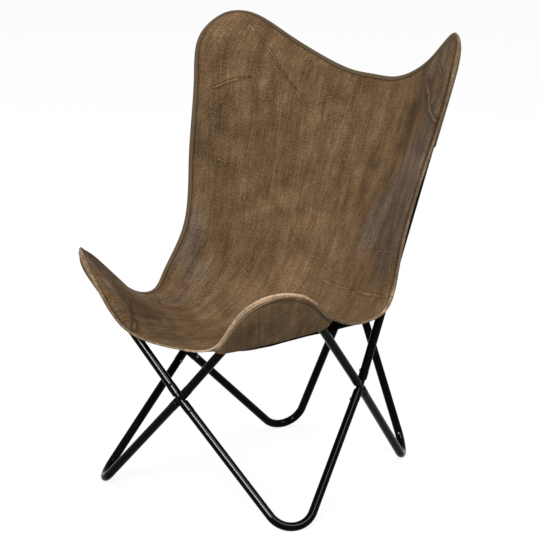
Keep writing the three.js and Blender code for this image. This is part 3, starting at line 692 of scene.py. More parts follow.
CROSSES = {"front": FRONT_CROSS, "back": BACK_CROSS, "right": SIDE_CROSS, "left": mirrored(SIDE_CROSS)}
INSIDES = {"front": (0, 1, 0), "back": (0, -1, 0), "right": (-1, 0, 0), "left": (1, 0, 0)}
TUBES = []
for kind, corner, middle, bend in (
    ("wing_tube_front", FRONT_LOOP_CORNER, "front", FRONT_LOOP_BEND),
    ("wing_tube_back", BACK_LOOP_CORNER, "back", BACK_LOOP_BEND),
    ("foot_tube_front", standing_corner(FRONT_FOOT_CORNER, FRONT_CROSS, SIDE_CROSS), "front", FOOT_BEND),
    ("foot_tube_back", standing_corner(BACK_FOOT_CORNER, BACK_CROSS, SIDE_CROSS), "back", FOOT_BEND),
):
    TUBES.append((f"{kind}_right", corner, middle, "right", bend))
    TUBES.append((f"{kind}_left", mirrored(corner), middle, "left", bend))


def arm_directions(cross):
    return {name: unit(corner - CROSSES[cross])
            for name, corner, middle, side, _ in TUBES if cross in (middle, side)}


def mouth_distance(cross, tube):
    """How far from the crossing a tube ends, so that its belled end clears its neighbours."""
    arms = arm_directions(cross)
    reach = [LEAST_MOUTH]
    for other, direction in arms.items():
        if other != tube:
            half = math.acos(np.clip(arms[tube] @ direction, -1, 1)) / 2
            reach.append((TUBE_RADIUS + BELL_RISE + FIT_GAP) / math.tan(half))
    return max(reach)


def geometry_tree(name, inputs):
    tree = bpy.data.node_groups.new(name, "GeometryNodeTree")
    tree.interface.new_socket(name="Geometry", in_out="INPUT", socket_type="NodeSocketGeometry")
    for label, kind, value in (*inputs, ("Material", "NodeSocketMaterial", None)):
        socket = tree.interface.new_socket(name=label, in_out="INPUT", socket_type=kind)
        if value is not None:
            socket.default_value = value
    tree.interface.new_socket(name="Geometry", in_out="OUTPUT", socket_type="NodeSocketGeometry")
    return tree, tree.nodes.new("NodeGroupInput").outputs


def end_tree(tree, geometry, material):
    """Shades the geometry smooth, makes its copies real and gives it its material."""
    shaded = add_node(tree, "GeometryNodeSetShadeSmooth", Geometry=geometry)
    real = add_node(tree, "GeometryNodeRealizeInstances", Geometry=shaded.outputs[0])
    painted = add_node(tree, "GeometryNodeSetMaterial", Geometry=real.outputs[0], Material=material)
    add_node(tree, "NodeGroupOutput", Geometry=painted.outputs[0])
    return tree


def named_attribute(tree, name, kind):
    node = add_node(tree, "GeometryNodeInputNamedAttribute", Name=name)
    node.data_type = kind
    return node.outputs["Attribute"]


def make_tube_tree():
    """A round tube along the piece's own edges, as thick at each point as its girth says."""
    tree, source = geometry_tree("Tube along a line", [("Sides", "NodeSocketInt", TUBE_SIDES)])
    line = add_node(tree, "GeometryNodeMeshToCurve", Mesh=source["Geometry"])
    ring = add_node(tree, "GeometryNodeCurvePrimitiveCircle", Resolution=source["Sides"], Radius=1.0)
    skin = add_node(tree, "GeometryNodeCurveToMesh", Curve=line.outputs[0],
                    Profile_Curve=ring.outputs["Curve"], Scale=named_attribute(tree, "girth", "FLOAT"),
                    Fill_Caps=True)
    return end_tree(tree, skin.outputs[0], source["Material"])


def make_instance_tree(name, sizes):
    """Copies of one small shape on the piece's points, turned by their run and facing."""
    inputs = [(label, "NodeSocketFloat", size) for label, size in sizes.items()]
    tree, source = geometry_tree(name, [*inputs, ("Shape", "NodeSocketObject", None)])
    shape = add_node(tree, "GeometryNodeObjectInfo", Object=source["Shape"])
    first = add_node(tree, "FunctionNodeAlignRotationToVector",
                     Vector=named_attribute(tree, "run", "FLOAT_VECTOR"))
    first.axis = "X"
    second = add_node(tree, "FunctionNodeAlignRotationToVector", Rotation=first.outputs["Rotation"],
                      Vector=named_attribute(tree, "facing", "FLOAT_VECTOR"))
    second.axis = "Z"
    second.pivot_axis = "X"
    scale = tree.nodes.new("ShaderNodeCombineXYZ")
    for label, socket in zip(sizes, scale.inputs):
        feed(tree, source[label], socket)
    copies = add_node(tree, "GeometryNodeInstanceOnPoints", Points=source["Geometry"],
                      Instance=shape.outputs["Geometry"], Rotation=second.outputs["Rotation"],
                      Scale=scale.outputs[0])
    return end_tree(tree, copies.outputs[0], source["Material"])


def run_tree(piece, tree, name, **values):
    """Sets the tree's named inputs on a modifier and turns its result into a plain mesh."""
    modifier = piece.modifiers.new(tree.name, "NODES")
    modifier.node_group = tree
    for item in tree.interface.items_tree:
        if item.item_type == "SOCKET" and item.in_out == "INPUT" and item.name in values:
            modifier[item.identifier] = values[item.name]
    return baked(piece, name)


TUBE_TREE = make_tube_tree()


def tube_piece(name, course, material=PAINT, sides=TUBE_SIDES):
    """A tube along points that are each given with its girth there."""
    points, girths = zip(*course)
    line = mesh_object(name + "_line", points, edges=[(i, i + 1) for i in range(len(points) - 1)])
    add_attribute(line, "girth", girths)
    return run_tree(line, TUBE_TREE, name, Sides=sides, Material=material)


def copies_piece(name, tree_name, sizes, shape, material, points, runs, facings):
    """One piece of copies of a shape, which is used up; sizes are along run, across and out."""
    cloud = mesh_object(name + "_points", points)
    add_attribute(cloud, "run", runs, "FLOAT_VECTOR")
    add_attribute(cloud, "facing", facings, "FLOAT_VECTOR")
    piece = run_tree(cloud, make_instance_tree(tree_name, sizes), name, Shape=shape, Material=material)
    bpy.data.objects.remove(shape)
    return piece


def belled_end(end, direction, mouth):
    """Points and girths from a tube's mouth to where its bell has run out."""
    bell = TUBE_RADIUS + BELL_RISE
    run = BELL_END - mouth
    stations = [(0.0, MOUTH_RADIUS)]
    stations += [(along * MM, bell - thinner * MM) for along, thinner in BELL_MOUTH]
    stations += [(run + along * MM, bell - thinner * MM) for along, thinner in BELL_SHOULDER]
    return [(end + direction * along, girth) for along, girth in stations]


def build_tubes():
    for name, corner, middle, side, bend in TUBES:
        ends = []
        for cross in (middle, side):
            direction = unit(corner - CROSSES[cross])
            mouth = mouth_distance(cross, name)
            ends.append((CROSSES[cross] + direction * mouth, direction, mouth))
        line = BentLine(ends[0][0], corner, ends[1][0], bend)
        bend_points = [(point, TUBE_RADIUS) for point in line.points()[1:-1]]
        course = [*belled_end(*ends[0]), *bend_points, *belled_end(*ends[1])[::-1]]
        piece = tube_piece(name + "_finish", course)
        SHINY_PIECES.objects.link(piece)
        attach(piece, "root")
        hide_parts(name)


def build_crossings():
    for cross, place in CROSSES.items():
        body = bmesh.new()
        bmesh.ops.create_icosphere(body, subdivisions=3, radius=HUB_RADIUS,
                                   matrix=Matrix.Translation(Vector(place)))
        for name, direction in arm_directions(cross).items():
            course = [(place, NECK_RADIUS), (place + direction * ARM_LENGTH, NECK_RADIUS)]
            arm = tube_piece(f"arm_{name}", course, sides=ARM_SIDES)
            body.from_mesh(arm.data)
            bpy.data.objects.remove(arm)
        piece = mesh_object(f"crossing_{cross}_finish", ())
        body.to_mesh(piece.data)
        body.free()
        piece.data.materials.append(PAINT)
        smooth(piece)
        SHINY_PIECES.objects.link(piece)
        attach(piece, "root")
        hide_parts(f"crossing_{cross}")


def screw_shape():
    """A button head of unit radius and rise, with a hexagonal socket, standing on Z = 0."""
    turn = 2 * math.pi * np.arange(SCREW_SIDES) / SCREW_SIDES
    socket = SOCKET_FLAT / np.cos(turn % (math.pi / 3) - math.pi / 6)
    rings = (*HEAD_RINGS, (socket, 1.0), (socket, SOCKET_FLOOR))
    return band_mesh("screw_shape", np.array([
        np.stack([radius * np.cos(turn), radius * np.sin(turn), np.full(SCREW_SIDES, height)], axis=1)
        for radius, height in rings]))


def build_screws():
    points, runs, facings, nodes = [], [], [], []
    for cross, place in CROSSES.items():
        inside = np.array(INSIDES[cross], dtype=float)
        for name, direction in arm_directions(cross).items():
            facing = unit(inside - direction * (inside @ direction))
            seat = TUBE_RADIUS + BELL_RISE - SCREW_SUNK
            points.append(place + direction * SCREW_PLACE + facing * seat)
            runs.append(direction)
            facings.append(facing)
            nodes.append(f"screw_{cross}_{name.replace('_tube', '')}")
    sizes = {"Head Radius": SCREW_HEAD, "Head Width": SCREW_HEAD, "Head Rise": SCREW_RISE}
    piece = copies_piece("frame_screws", "Screw heads", sizes, screw_shape(), SCREW_STEEL,
                         points, runs, facings)
    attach(piece, "root")
    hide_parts(*nodes)


# Sling

class Loop:
    """A loop of the frame that a wing hangs on, with its own directions."""

    def __init__(self, corner, side_cross, middle_cross, radius, sitter):
        line = BentLine(side_cross, corner, middle_cross, radius)
        self.centre = line.centre
        self.out = -line.inwards
        self.sideways = line.sideways
        self.facing = unit(np.cross(self.sideways, self.out))
        if self.facing @ (sitter - self.centre) < 0:
            self.facing = -self.facing
        self.radius = radius
        self.sweep = line.sweep
        bend = radius * self.sweep
        self.side_length = bend + np.linalg.norm(line.bend_point(self.sweep) - side_cross)
        self.middle_length = bend + np.linalg.norm(line.bend_point(-self.sweep) - middle_cross)

    def leg(self, sign):
        outwards = self.out * math.cos(self.sweep) + self.sideways * sign * math.sin(self.sweep)
        downwards = -self.out * math.sin(self.sweep) + self.sideways * sign * math.cos(self.sweep)
        return outwards, downwards

    def place(self, along, outwards, lift):
        bend = self.radius * self.sweep
        point = self.centre + self.facing * lift
        if abs(along) <= bend:
            angle = along / self.radius
            out = self.out * math.cos(angle) + self.sideways * math.sin(angle)
            return point + out * (self.radius + outwards)
        out, down = self.leg(math.copysign(1, along))
        return point + out * (self.radius + outwards) + down * (abs(along) - bend)

    def place_by_shares(self, shares):
        along, outwards, lift = shares
        length = self.side_length if along > 0 else self.middle_length
        return self.place(along * length, EDGE_SEAT + outwards * EDGE_SWING, EDGE_LIFT + lift * EDGE_SWING)

    def locate(self, points):
        """How far points lie outwards from the tube and towards the sitter, and the outward way."""
        away = points - self.centre
        out_part = away @ self.out
        side_part = away @ self.sideways
        lift = away @ self.facing
        angle = np.arctan2(side_part, out_part)
        radial = np.hypot(out_part, side_part)
        plus_out, _ = self.leg(1)
        minus_out, _ = self.leg(-1)
        outwards = np.where(np.abs(angle) <= self.sweep, radial,
                            np.where(side_part > 0, away @ plus_out, away @ minus_out)) - self.radius
        return outwards, lift


SITTER = np.array([0, SEAT_LOW[1], 2 * SEAT_LOW[2]])
WINGS = (("back", BACK_LOOP_CORNER, BACK_CROSS, BACK_LOOP_BEND),
         ("front", FRONT_LOOP_CORNER, FRONT_CROSS, FRONT_LOOP_BEND))
LOOPS = {
    1: {which: Loop(corner, SIDE_CROSS, cross, bend, SITTER) for which, corner, cross, bend in WINGS},
    -1: {which: Loop(mirrored(corner), mirrored(SIDE_CROSS), cross, bend, SITTER)
         for which, corner, cross, bend in WINGS},
}


def spline_through(points, samples, closed):
    """Evenly spaced samples of a smooth line through points, with the share of each point along it."""
    points = np.asarray(points)
    knots = np.vstack([points, points[:1]]) if closed else points
    steps = np.linalg.norm(np.diff(knots, axis=0), axis=1) ** 0.8
    count = len(knots)
    system = np.zeros((count, count))
    right = np.zeros((count, 3))
    slopes = np.diff(knots, axis=0) / steps[:, None]
    for i in range(1, count - 1):
        system[i, i - 1:i + 2] = steps[i - 1], 2 * (steps[i - 1] + steps[i]), steps[i]
        right[i] = 6 * (slopes[i] - slopes[i - 1])
    if closed:
        system[0, 0], system[0, -1] = 1, -1
        system[-1, 0], system[-1, 1] = 2 * steps[0], steps[0]
        system[-1, -1] += 2 * steps[-1]
        system[-1, -2] = steps[-1]
        right[-1] = 6 * (slopes[0] - slopes[-1])
    else:
        system[0, 0] = system[-1, -1] = 1
    bends = np.linalg.solve(system, right)
    fine = 60
    t = np.arange(fine)[:, None] / fine
    line = [(1 - t) * knots[i] + t * knots[i + 1]
            + step ** 2 / 6 * (((1 - t) ** 3 - (1 - t)) * bends[i] + (t ** 3 - t) * bends[i + 1])
            for i, step in enumerate(steps)]
    line = np.vstack([*line, knots[-1:]])
    lengths = distances_along(line)
    even = at_distances(np.linspace(0, lengths[-1], samples), lengths, line)
    return even, lengths[::fine] / lengths[-1]


def side_points(sign, back_shares, front_shares):
    """Places of the edge on one side, from the back loop to the front loop."""
    back = [LOOPS[sign]["back"].place_by_shares(shares) for shares in back_shares]
    front = [LOOPS[sign]["front"].place_by_shares(shares) for shares in front_shares]
    return [*back, *front]


RIGHT_POINTS = side_points(1, RIGHT_BACK_SHARES, RIGHT_FRONT_SHARES)
LEFT_POINTS = side_points(-1, LEFT_BACK_SHARES, LEFT_FRONT_SHARES)
EDGE_POINTS = [TOP_MIDDLE, *RIGHT_POINTS, FRONT_MIDDLE, *LEFT_POINTS[::-1]]
EDGE_LINE, EDGE_SHARES = spline_through(EDGE_POINTS, EDGE_SAMPLES, True)
FRONT_TIP_COUNT = len(RIGHT_BACK_SHARES) + FRONT_TIP_POINT
MARKS = {
    "right_back": EDGE_SHARES[BACK_TIP_POINT],
    "right_front": EDGE_SHARES[FRONT_TIP_COUNT],
    "front": EDGE_SHARES[len(RIGHT_POINTS) + 1],
    "left_front": EDGE_SHARES[len(EDGE_POINTS) - FRONT_TIP_COUNT],
    "left_back": EDGE_SHARES[len(EDGE_POINTS) - BACK_TIP_POINT],
}


def on_samples(line, share):
    """Places at shares of the way along a line of evenly spaced samples."""
    wanted = np.clip(share, 0, 1) * (len(line) - 1)
    return at_distances(wanted, np.arange(len(line)), line)


def stretch_of_edge(start, end):
    return lambda share: on_samples(EDGE_LINE, start + (end - start) * np.clip(share, 0, 1))


TOP_EDGE = {1: stretch_of_edge(0.0, MARKS["right_back"]), -1: stretch_of_edge(1.0, MARKS["left_back"])}
SIDE_EDGE = {1: stretch_of_edge(MARKS["right_front"], MARKS["right_back"]),
             -1: stretch_of_edge(MARKS["left_front"], MARKS["left_back"])}
FRONT_EDGE = {1: stretch_of_edge(MARKS["front"], MARKS["right_front"]),
              -1: stretch_of_edge(MARKS["front"], MARKS["left_front"])}


def line_from_low(shares, end):
    """Places between the lowest place of the seat and one end of the middle line."""
    return [SEAT_LOW + np.array([0, along, up]) * (end - SEAT_LOW) for along, up in shares]


MIDDLE_LINE, _ = spline_through(
    [FRONT_MIDDLE, *line_from_low(FRONT_LINE_SHARES, FRONT_MIDDLE), SEAT_LOW,
     *line_from_low(BACK_LINE_SHARES, TOP_MIDDLE), TOP_MIDDLE], MIDDLE_SAMPLES, False)

# How far in the front and the top edge shape the cloth, as shares of its length, and the part of
# the middle line, the spine, that the rows of its net run in to
FRONT_REACH = 0.4
TOP_REACH = 0.5
SPINE_FRONT = 0.3
SPINE_TOP = 0.72

# Stations on half of the top edge, on a side edge and on half of the front edge, and how many times
# more of them each piece takes
STATION_COUNTS = (55, 130, 50)
PANEL_FINENESS = 1.0
STITCH_FINENESS = 4.0
TAPE_FINENESS = 7.5


def arched(across, length):
    """The cloth between its side edges and its middle line, before the end edges shape it."""
    right = SIDE_EDGE[1](length)
    left = SIDE_EDGE[-1](length)
    middle = on_samples(MIDDLE_LINE, length)
    half = (right - left) / 2
    rise = (right + left) / 2 - middle
    return middle + half * across[:, None] + rise * across[:, None] ** 2


def cloth_point(across, length):
    """The sling's surface: across from -1 at the left edge to 1, length from 0 in front to 1."""
    point = arched(across, length)
    share = np.abs(across)
    near_front = np.maximum(0, 1 - length / FRONT_REACH)[:, None] ** 2
    near_top = np.maximum(0, 1 - (1 - length) / TOP_REACH)[:, None] ** 2
    on_right = (across > 0)[:, None]
    front = np.where(on_right, FRONT_EDGE[1](share), FRONT_EDGE[-1](share))
    top = np.where(on_right, TOP_EDGE[1](share), TOP_EDGE[-1](share))
    point = point + (front - arched(across, np.zeros_like(length))) * near_front
    return point + (top - arched(across, np.ones_like(length))) * near_top


def side_station(sign, length):
    return float(sign), length, min(max(length, SPINE_FRONT), SPINE_TOP)


def half_stations(sign, top_count, side_count, front_count):
    """Stations on one side: half of the top edge, the side edge and half of the front edge."""
    top = [(sign * i / top_count, 1.0, SPINE_TOP) for i in range(top_count)]
    side = [side_station(sign, 1 - i / side_count) for i in range(side_count)]
    front = [(sign * (1 - i / front_count), 0.0, SPINE_FRONT) for i in range(front_count)]
    return np.array(top + side + front)


def round_stations(fineness):
    """Stations round the edge from the top middle by the right side, as across, length and spine."""
    counts = [int(round(n * fineness)) for n in STATION_COUNTS]
    right = half_stations(1, *counts)
    left = half_stations(-1, *counts)
    return np.vstack([right, [[0, 0, SPINE_FRONT]], left[1:][::-1]]), counts


def on_line(stations, share):
    """The cloth's surface on the lines in from the edge, share 1, to the spine, share 0."""
    across, length, spine = stations.T
    return cloth_point(across * share, spine + (length - spine) * share)


def line_lengths(stations, edges):
    """How far each place on the edge is from the spine."""
    return np.linalg.norm(on_line(stations, 0.0) - edges, axis=1)


def side_signs(stations):
    return np.where(stations[:, 0] < 0, -1, 1)


def over_tubes(points, edges, signs):
    """Lifts the cloth over the tubes on the sitter's side, and lets it run down to the edge."""
    points = points.copy()
    for sign in (1, -1):
        mine = signs == sign
        for loop in LOOPS[sign].values():
            outwards, lift = loop.locate(points[mine])
            edge_out, edge_lift = loop.locate(edges[mine])
            run = np.clip(outwards / np.maximum(edge_out, CLOTH_STEP), 0, 1)
            cover = TUBE_COVER - (TUBE_COVER - np.minimum(edge_lift, TUBE_COVER)) * run ** 2
            excess = lift - cover
            settled = TUBE_SOFTNESS * SOFT_REST * np.exp(-np.abs(excess) / TUBE_SOFTNESS)
            raised = cover + softened(excess, TUBE_SOFTNESS) - settled
            covered = (outwards <= 0) | (outwards < np.minimum(edge_out, EDGE_SWING))
            held = np.where(covered, raised, lift)
            fade = np.clip((edge_out - outwards) / EDGE_FADE, 0, 1)
            points[mine] += loop.facing * ((held - lift) * fade)[:, None]
    return points


def in_from_edge(stations, edges, distance):
    """The cloth's surface at a distance in from each place on its edge."""
    share = 1 - distance / line_lengths(stations, edges)
    return over_tubes(on_line(stations, share), edges, side_signs(stations))


def smooth_round(values, rounds):
    for _ in range(rounds):
        values = (np.roll(values, 1, axis=0) + 2 * values + np.roll(values, -1, axis=0)) / 4
    return values


# How pale the hem's tape is, from scuffing and, above 1 on the front edge, painted highlight, and
# how far it reaches over the cloth in millimetres, by its share of the way round from the top
# middle by the right side
HEM_STEPS = (
    (0, 0.1, 5), (0.09, 0.12, 5), (0.105, 0.3, 3), (0.115, 0.6, 4), (0.13, 0.66, 4), (0.16, 0.62, 2),
    (0.2, 0.6, 1.2), (0.27, 0.6, 1.4), (0.285, 0.72, 5), (0.3, 0.8, 7), (0.32, 0.75, 7), (0.34, 0.6, 5),
    (0.36, 0.75, 8), (0.375, 0.9, 9), (0.39, 1.2, 8), (0.4, 1.45, 6.5), (0.44, 1.5, 7), (0.46, 1.35, 6),
    (0.48, 1.1, 2.5), (0.5, 0.8, 1), (0.53, 0.68, 0.8), (0.58, 0.64, 0.8), (0.6, 0.6, 0.8),
    (0.615, 0.15, 3), (0.68, 0.1, 3.5), (0.76, 0.1, 4), (0.88, 0.12, 4.5), (1, 0.1, 5),
)


def hem_steps(edges):
    """How far round each edge place is, its tape's scuffing and painted highlight, and width over the cloth.
    """
    distances = distances_along(np.vstack([edges, edges[:1]]))
    along = distances[:-1]
    share, wear_and_highlight, reach = np.array(HEM_STEPS).T
    way_round = along / distances[-1]
    return along, np.interp(way_round, share, wear_and_highlight), np.interp(way_round, share, reach) * MM


# The panel's net: rows of points close to the edge, where the cloth lies over the tubes, and how
# many more go on to the spine; the last of them have no folds
NEAR_ROWS = np.array([0.5, 1.7, 2.9, 4.1, 5.3, 6.5, 7.7, 8.9, 10.5, 12.5, 15, 18, 22, 26, 31, 37, 44,
                      52, 62]) * MM
INNER_ROWS = 60
INNER_CROWDING = 1.15
STILL_ROWS = 5

# Broad places where the cloth is darker or paler, and where it is greyer: across, length, then
# how wide and how long as shares, and how strong. Some darker spots are painted shade: in the right
# back tip and the left front tip, under the top hem on the right and beside a fold at the front left
TONE_SPOTS = (
    (0.15, 0.8, 0.3, 0.09, -0.05), (0.6, 0.66, 0.3, 0.14, -0.08), (0.9, 0.5, 0.16, 0.12, -0.08),
    (-0.12, 0.68, 0.2, 0.1, 0.02), (-0.5, 0.6, 0.3, 0.08, 0.04), (-0.8, 0.88, 0.12, 0.06, 0.08),
    (-0.86, 0.77, 0.12, 0.05, -0.14), (-0.6, 0.77, 0.14, 0.05, 0.1), (-0.97, 0.47, 0.14, 0.12, -0.03),
    (-0.85, 0.3, 0.14, 0.08, -0.1), (-0.4, 0.3, 0.3, 0.09, -0.06), (-0.1, 0.58, 0.22, 0.04, -0.12),
    (0.0, 0.5, 0.25, 0.04, 0.1), (-0.4, 0.43, 0.3, 0.06, 0.06), (0.55, 0.93, 0.2, 0.06, -0.08),
    (0.85, 0.88, 0.16, 0.1, -0.16), (-0.92, 0.05, 0.1, 0.06, -0.2), (0.3, 0.86, 0.12, 0.05, 0.04),
    (0.9, 0.985, 0.1, 0.02, -0.45), (-0.97, 0.03, 0.05, 0.08, -0.7), (-0.66, 0.03, 0.1, 0.03, 0.1),
    (-0.55, 0.1, 0.25, 0.06, -0.24), (-0.87, 0.68, 0.14, 0.05, -0.14), (-0.33, 0.77, 0.12, 0.07, -0.16),
    (0.45, 0.86, 0.2, 0.07, -0.16), (-0.78, 0.95, 0.2, 0.05, 0.14), (0.5, 0.955, 0.08, 0.05, -0.2),
    (0.72, 0.9, 0.06, 0.04, -0.2), (-0.6, 0.13, 0.16, 0.05, -0.22), (0.24, 0.47, 0.1, 0.05, -0.14),
    (0.25, 0.965, 0.14, 0.03, -0.12), (0.06, 0.58, 0.1, 0.03, 0.1), (-0.33, 0.55, 0.14, 0.04, -0.1),
)
GREY_SPOTS = (
    (0.7, 0.68, 0.26, 0.1, 1.1), (0.85, 0.56, 0.2, 0.14, 0.9), (0.42, 0.62, 0.16, 0.07, 0.7),
    (-0.95, 0.47, 0.1, 0.09, 0.7), (-0.8, 0.3, 0.14, 0.05, 0.5), (0.9, 0.8, 0.12, 0.08, 0.6),
    (-0.86, 0.75, 0.12, 0.03, 0.4), (-0.8, 0.4, 0.12, 0.05, 0.5),
)

# Painted shadow: where the underside is painted dark, behind the seat
UNDER_SEAT_SHADOW_SPOTS = ((0.85, 0.24, 0.5, 0.14, 1.5), (0.3, 0.25, 0.5, 0.12, 0.9))


def soft_spots(across, length, spots, start):
    """A value that is the same all over the cloth but for its spots."""
    value = np.full_like(across, start)
    for at_across, at_length, wide, long, strength in spots:
        value += strength * np.exp(-((across - at_across) / wide) ** 2 - ((length - at_length) / long) ** 2)
    return value


# Soft folds that stand out of the cloth: two places, then how wide and how high in millimetres
FOLD_SIZES = (
    ((0.56, 0.97), (0.75, 0.88), 26, 5), ((0.74, 0.885), (0.98, 0.785), 26, 5),
    ((0.78, 0.94), (0.93, 0.885), 20, 3.6), ((0.935, 0.885), (0.9, 0.825), 20, 3.6),
    ((-0.78, 0.965), (-0.43, 0.9), 9, 1.6), ((-0.64, 0.085), (-0.33, 0.01), 14, 4.6),
    ((-0.73, 0.125), (-0.6, 0.115), 9, 1.8), ((-0.98, 0.29), (-0.77, 0.238), 10, -2.4),
    ((0.07, 0.49), (0.97, 0.39), 10, -1.6), ((-0.91, 0.81), (-0.72, 0.872), 8, 1.4),
    ((-0.95, 0.02), (-0.8, 0.06), 12, -3),
)


def fold_height(uv):
    """How far the cloth stands out of its plain shape: soft folds and a little slack."""
    height = np.zeros(len(uv))
    for start, end, wide, high in FOLD_SIZES:
        first = np.array(on_cloth(*start))
        run = np.array(on_cloth(*end)) - first
        share = np.clip((uv - first) @ run / (run @ run), 0, 1)
        gap = np.linalg.norm(uv - first - share[:, None] * run, axis=1)
        along = np.sin(math.pi * (FOLD_END + (1 - 2 * FOLD_END) * share))
        height += high * MM * np.exp(-(gap / (wide * MM / 2)) ** 2) * along
    x, y = uv.T
    waves = (np.sin(23 * x + 9 * y + 1) * np.sin(8 * y - 5 * x + 2)
             + 0.6 * np.sin(41 * x - 17 * y) * np.sin(15 * y + 12 * x + 1)
             + 0.35 * np.sin(70 * x + 31 * y + 3) * np.sin(57 * y - 22 * x))
    return height + SLACK * waves


def build_panel():
    stations, _ = round_stations(PANEL_FINENESS)
    edges = on_line(stations, 1.0)
    lengths = line_lengths(stations, edges)
    near_last = 1 - NEAR_ROWS[-1] / lengths
    shares = [1 - distance / lengths for distance in NEAR_ROWS]
    shares += [near_last * (1 - (j / INNER_ROWS) ** INNER_CROWDING) for j in range(1, INNER_ROWS + 1)]
    shares = np.array(shares)
    across, length, spine = stations.T
    places = np.stack([across * shares, spine + (length - spine) * shares], axis=-1)
    signs = side_signs(stations)
    net = np.stack([over_tubes(cloth_point(*row.T), edges, signs) for row in places])
    uv = places * np.array([CLOTH_HALF, CLOTH_LENGTH])
    round_way = np.roll(net, -1, axis=1) - np.roll(net, 1, axis=1)
    normals = unit(np.cross(np.gradient(net, axis=0), round_way))
    distances = lengths * (1 - shares)
    free = np.clip((distances - FOLD_START) / FOLD_FADE, 0, 1)
    to_spine = np.clip((np.arange(len(net))[::-1] - 1) / STILL_ROWS, 0, 1)[:, None]
    heights = fold_height(uv.reshape(-1, 2)).reshape(free.shape)
    net = net + normals * (heights * free * to_spine)[..., None]
    piece = mesh_object("sling_sheet", net.reshape(-1, 3), grid_faces(len(net), len(stations), True))
    add_cloth_uv(piece, uv.reshape(-1, 2))
    spots = places.reshape(-1, 2).T
    _, _, reach = hem_steps(edges)
    add_attribute(piece, "tone", soft_spots(*spots, TONE_SPOTS, 0.5))
    add_attribute(piece, "grey", soft_spots(*spots, GREY_SPOTS, 0.0))
    # Painted shade in the seam line beside the tape
    add_attribute(piece, "groove_shade", np.exp(-((distances - reach - GROOVE_GAP) / GROOVE_WIDTH) ** 2))
    # Painted shadow for the underside, behind the seat
    add_attribute(piece, "under_seat_shadow", np.clip(soft_spots(*spots, UNDER_SEAT_SHADOW_SPOTS, 0.0), 0, 1))
    area = close_net(piece, PANEL_WELD)
    piece.data.materials.append(CLOTH_UNDER)
    piece.data.materials.append(CLOTH_FACE)
    return thickened(piece, "sling_cloth", CLOTH), area


# The folded tape's outline, across and out of the cloth, as shares of its width and thickness, the
# rounds that smooth its way inwards and its ridges' random places, and how much its ridges swell
TAPE_SECTION = np.array([
    (-0.5, 0.0), (-0.49, 0.28), (-0.42, 0.45), (-0.28, 0.5), (0.0, 0.46), (0.3, 0.44), (0.44, 0.4),
    (0.5, 0.26), (0.5, -0.26), (0.44, -0.4), (0.3, -0.44), (0.0, -0.46), (-0.28, -0.5), (-0.42, -0.45),
    (-0.49, -0.28),
])
TAPE_SEED = 7
TAPE_SMOOTHING = 40
WOBBLE_SMOOTHING = 60
WOBBLE = 6
RIDGE_SWELL = 0.1


def build_tapes():
    """The binding folded over the sling's edge, in four lengths."""
    stations, (top, side, front) = round_stations(TAPE_FINENESS)
    edges = on_line(stations, 1.0)
    forwards = unit(np.roll(edges, -1, axis=0) - np.roll(edges, 1, axis=0))
    inwards = unit(in_from_edge(stations, edges, NEAR_EDGE) - edges)
    inwards = np.cross(unit(np.cross(forwards, inwards)), forwards)
    inwards = unit(smooth_round(inwards, TAPE_SMOOTHING))
    facing = unit(np.cross(forwards, inwards))
    total = len(stations)
    rng = np.random.default_rng(TAPE_SEED)
    along, wear_and_highlight, reach = hem_steps(edges)
    wobble = smooth_round(rng.normal(0, 1, total), WOBBLE_SMOOTHING) * WOBBLE
    phase = 2 * math.pi * (along / RIDGE_PITCH) + wobble
    width = TAPE_OUTER + reach
    surface, normals = [], []
    for across, _ in TAPE_SECTION:
        distance = (across + 0.5) * width - TAPE_OUTER
        on_face = in_from_edge(stations, edges, np.maximum(distance, CLOTH_STEP))
        further = in_from_edge(stations, edges, np.maximum(distance, CLOTH_STEP) + CLOTH_STEP)
        beyond = edges + inwards * distance[:, None]
        inside = np.clip(distance / CLOTH_STEP, 0, 1)[:, None]
        surface.append(beyond * (1 - inside) + on_face * inside)
        normals.append(unit(facing * (1 - inside) + unit(np.cross(forwards, further - on_face)) * inside))
    across, deep = TAPE_SECTION.T
    from_middle = across * width[:, None]
    ridge = 0.5 + 0.5 * np.cos(phase[:, None] + RIDGE_SLANT * from_middle)
    rise = deep * TAPE_THICKNESS * (1 + RIDGE_SWELL * (ridge - 0.5))
    skin = np.stack(surface, axis=1) + np.stack(normals, axis=1) * rise[..., None]
    round_tape = from_middle + (deep > 0) * TAPE_THICKNESS
    uv = np.stack([round_tape, np.broadcast_to(along[:, None], round_tape.shape)], axis=-1)
    right_back, right_front = top, top + side
    middle_front = right_front + front
    left_front, left_back = 2 * middle_front - right_front, 2 * middle_front - right_back
    pieces = {}
    for name, start, end in (
        ("right", right_back, right_front), ("front", right_front, left_front),
        ("left", left_front, left_back), ("top", left_back, right_back + total),
    ):
        index = np.arange(start, end + 1) % total
        rings = skin[index]
        rings[0] += forwards[index[0]] * TAPE_GAP
        rings[-1] -= forwards[index[-1]] * TAPE_GAP
        piece = band_mesh(f"edge_tape_{name}", rings)
        add_cloth_uv(piece, uv[index].reshape(-1, 2))
        add_attribute(piece, "ridge", ridge[index])
        # How scuffed and painted lit the tape is
        add_attribute(piece, "wear_and_highlight", np.repeat(wear_and_highlight[index], len(TAPE_SECTION)))
        close_net(piece, 0)
        piece.data.materials.append(TAPE)
        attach(piece, "root")
        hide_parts(f"edge_binding_{name}")
        pieces[name] = piece
    return pieces


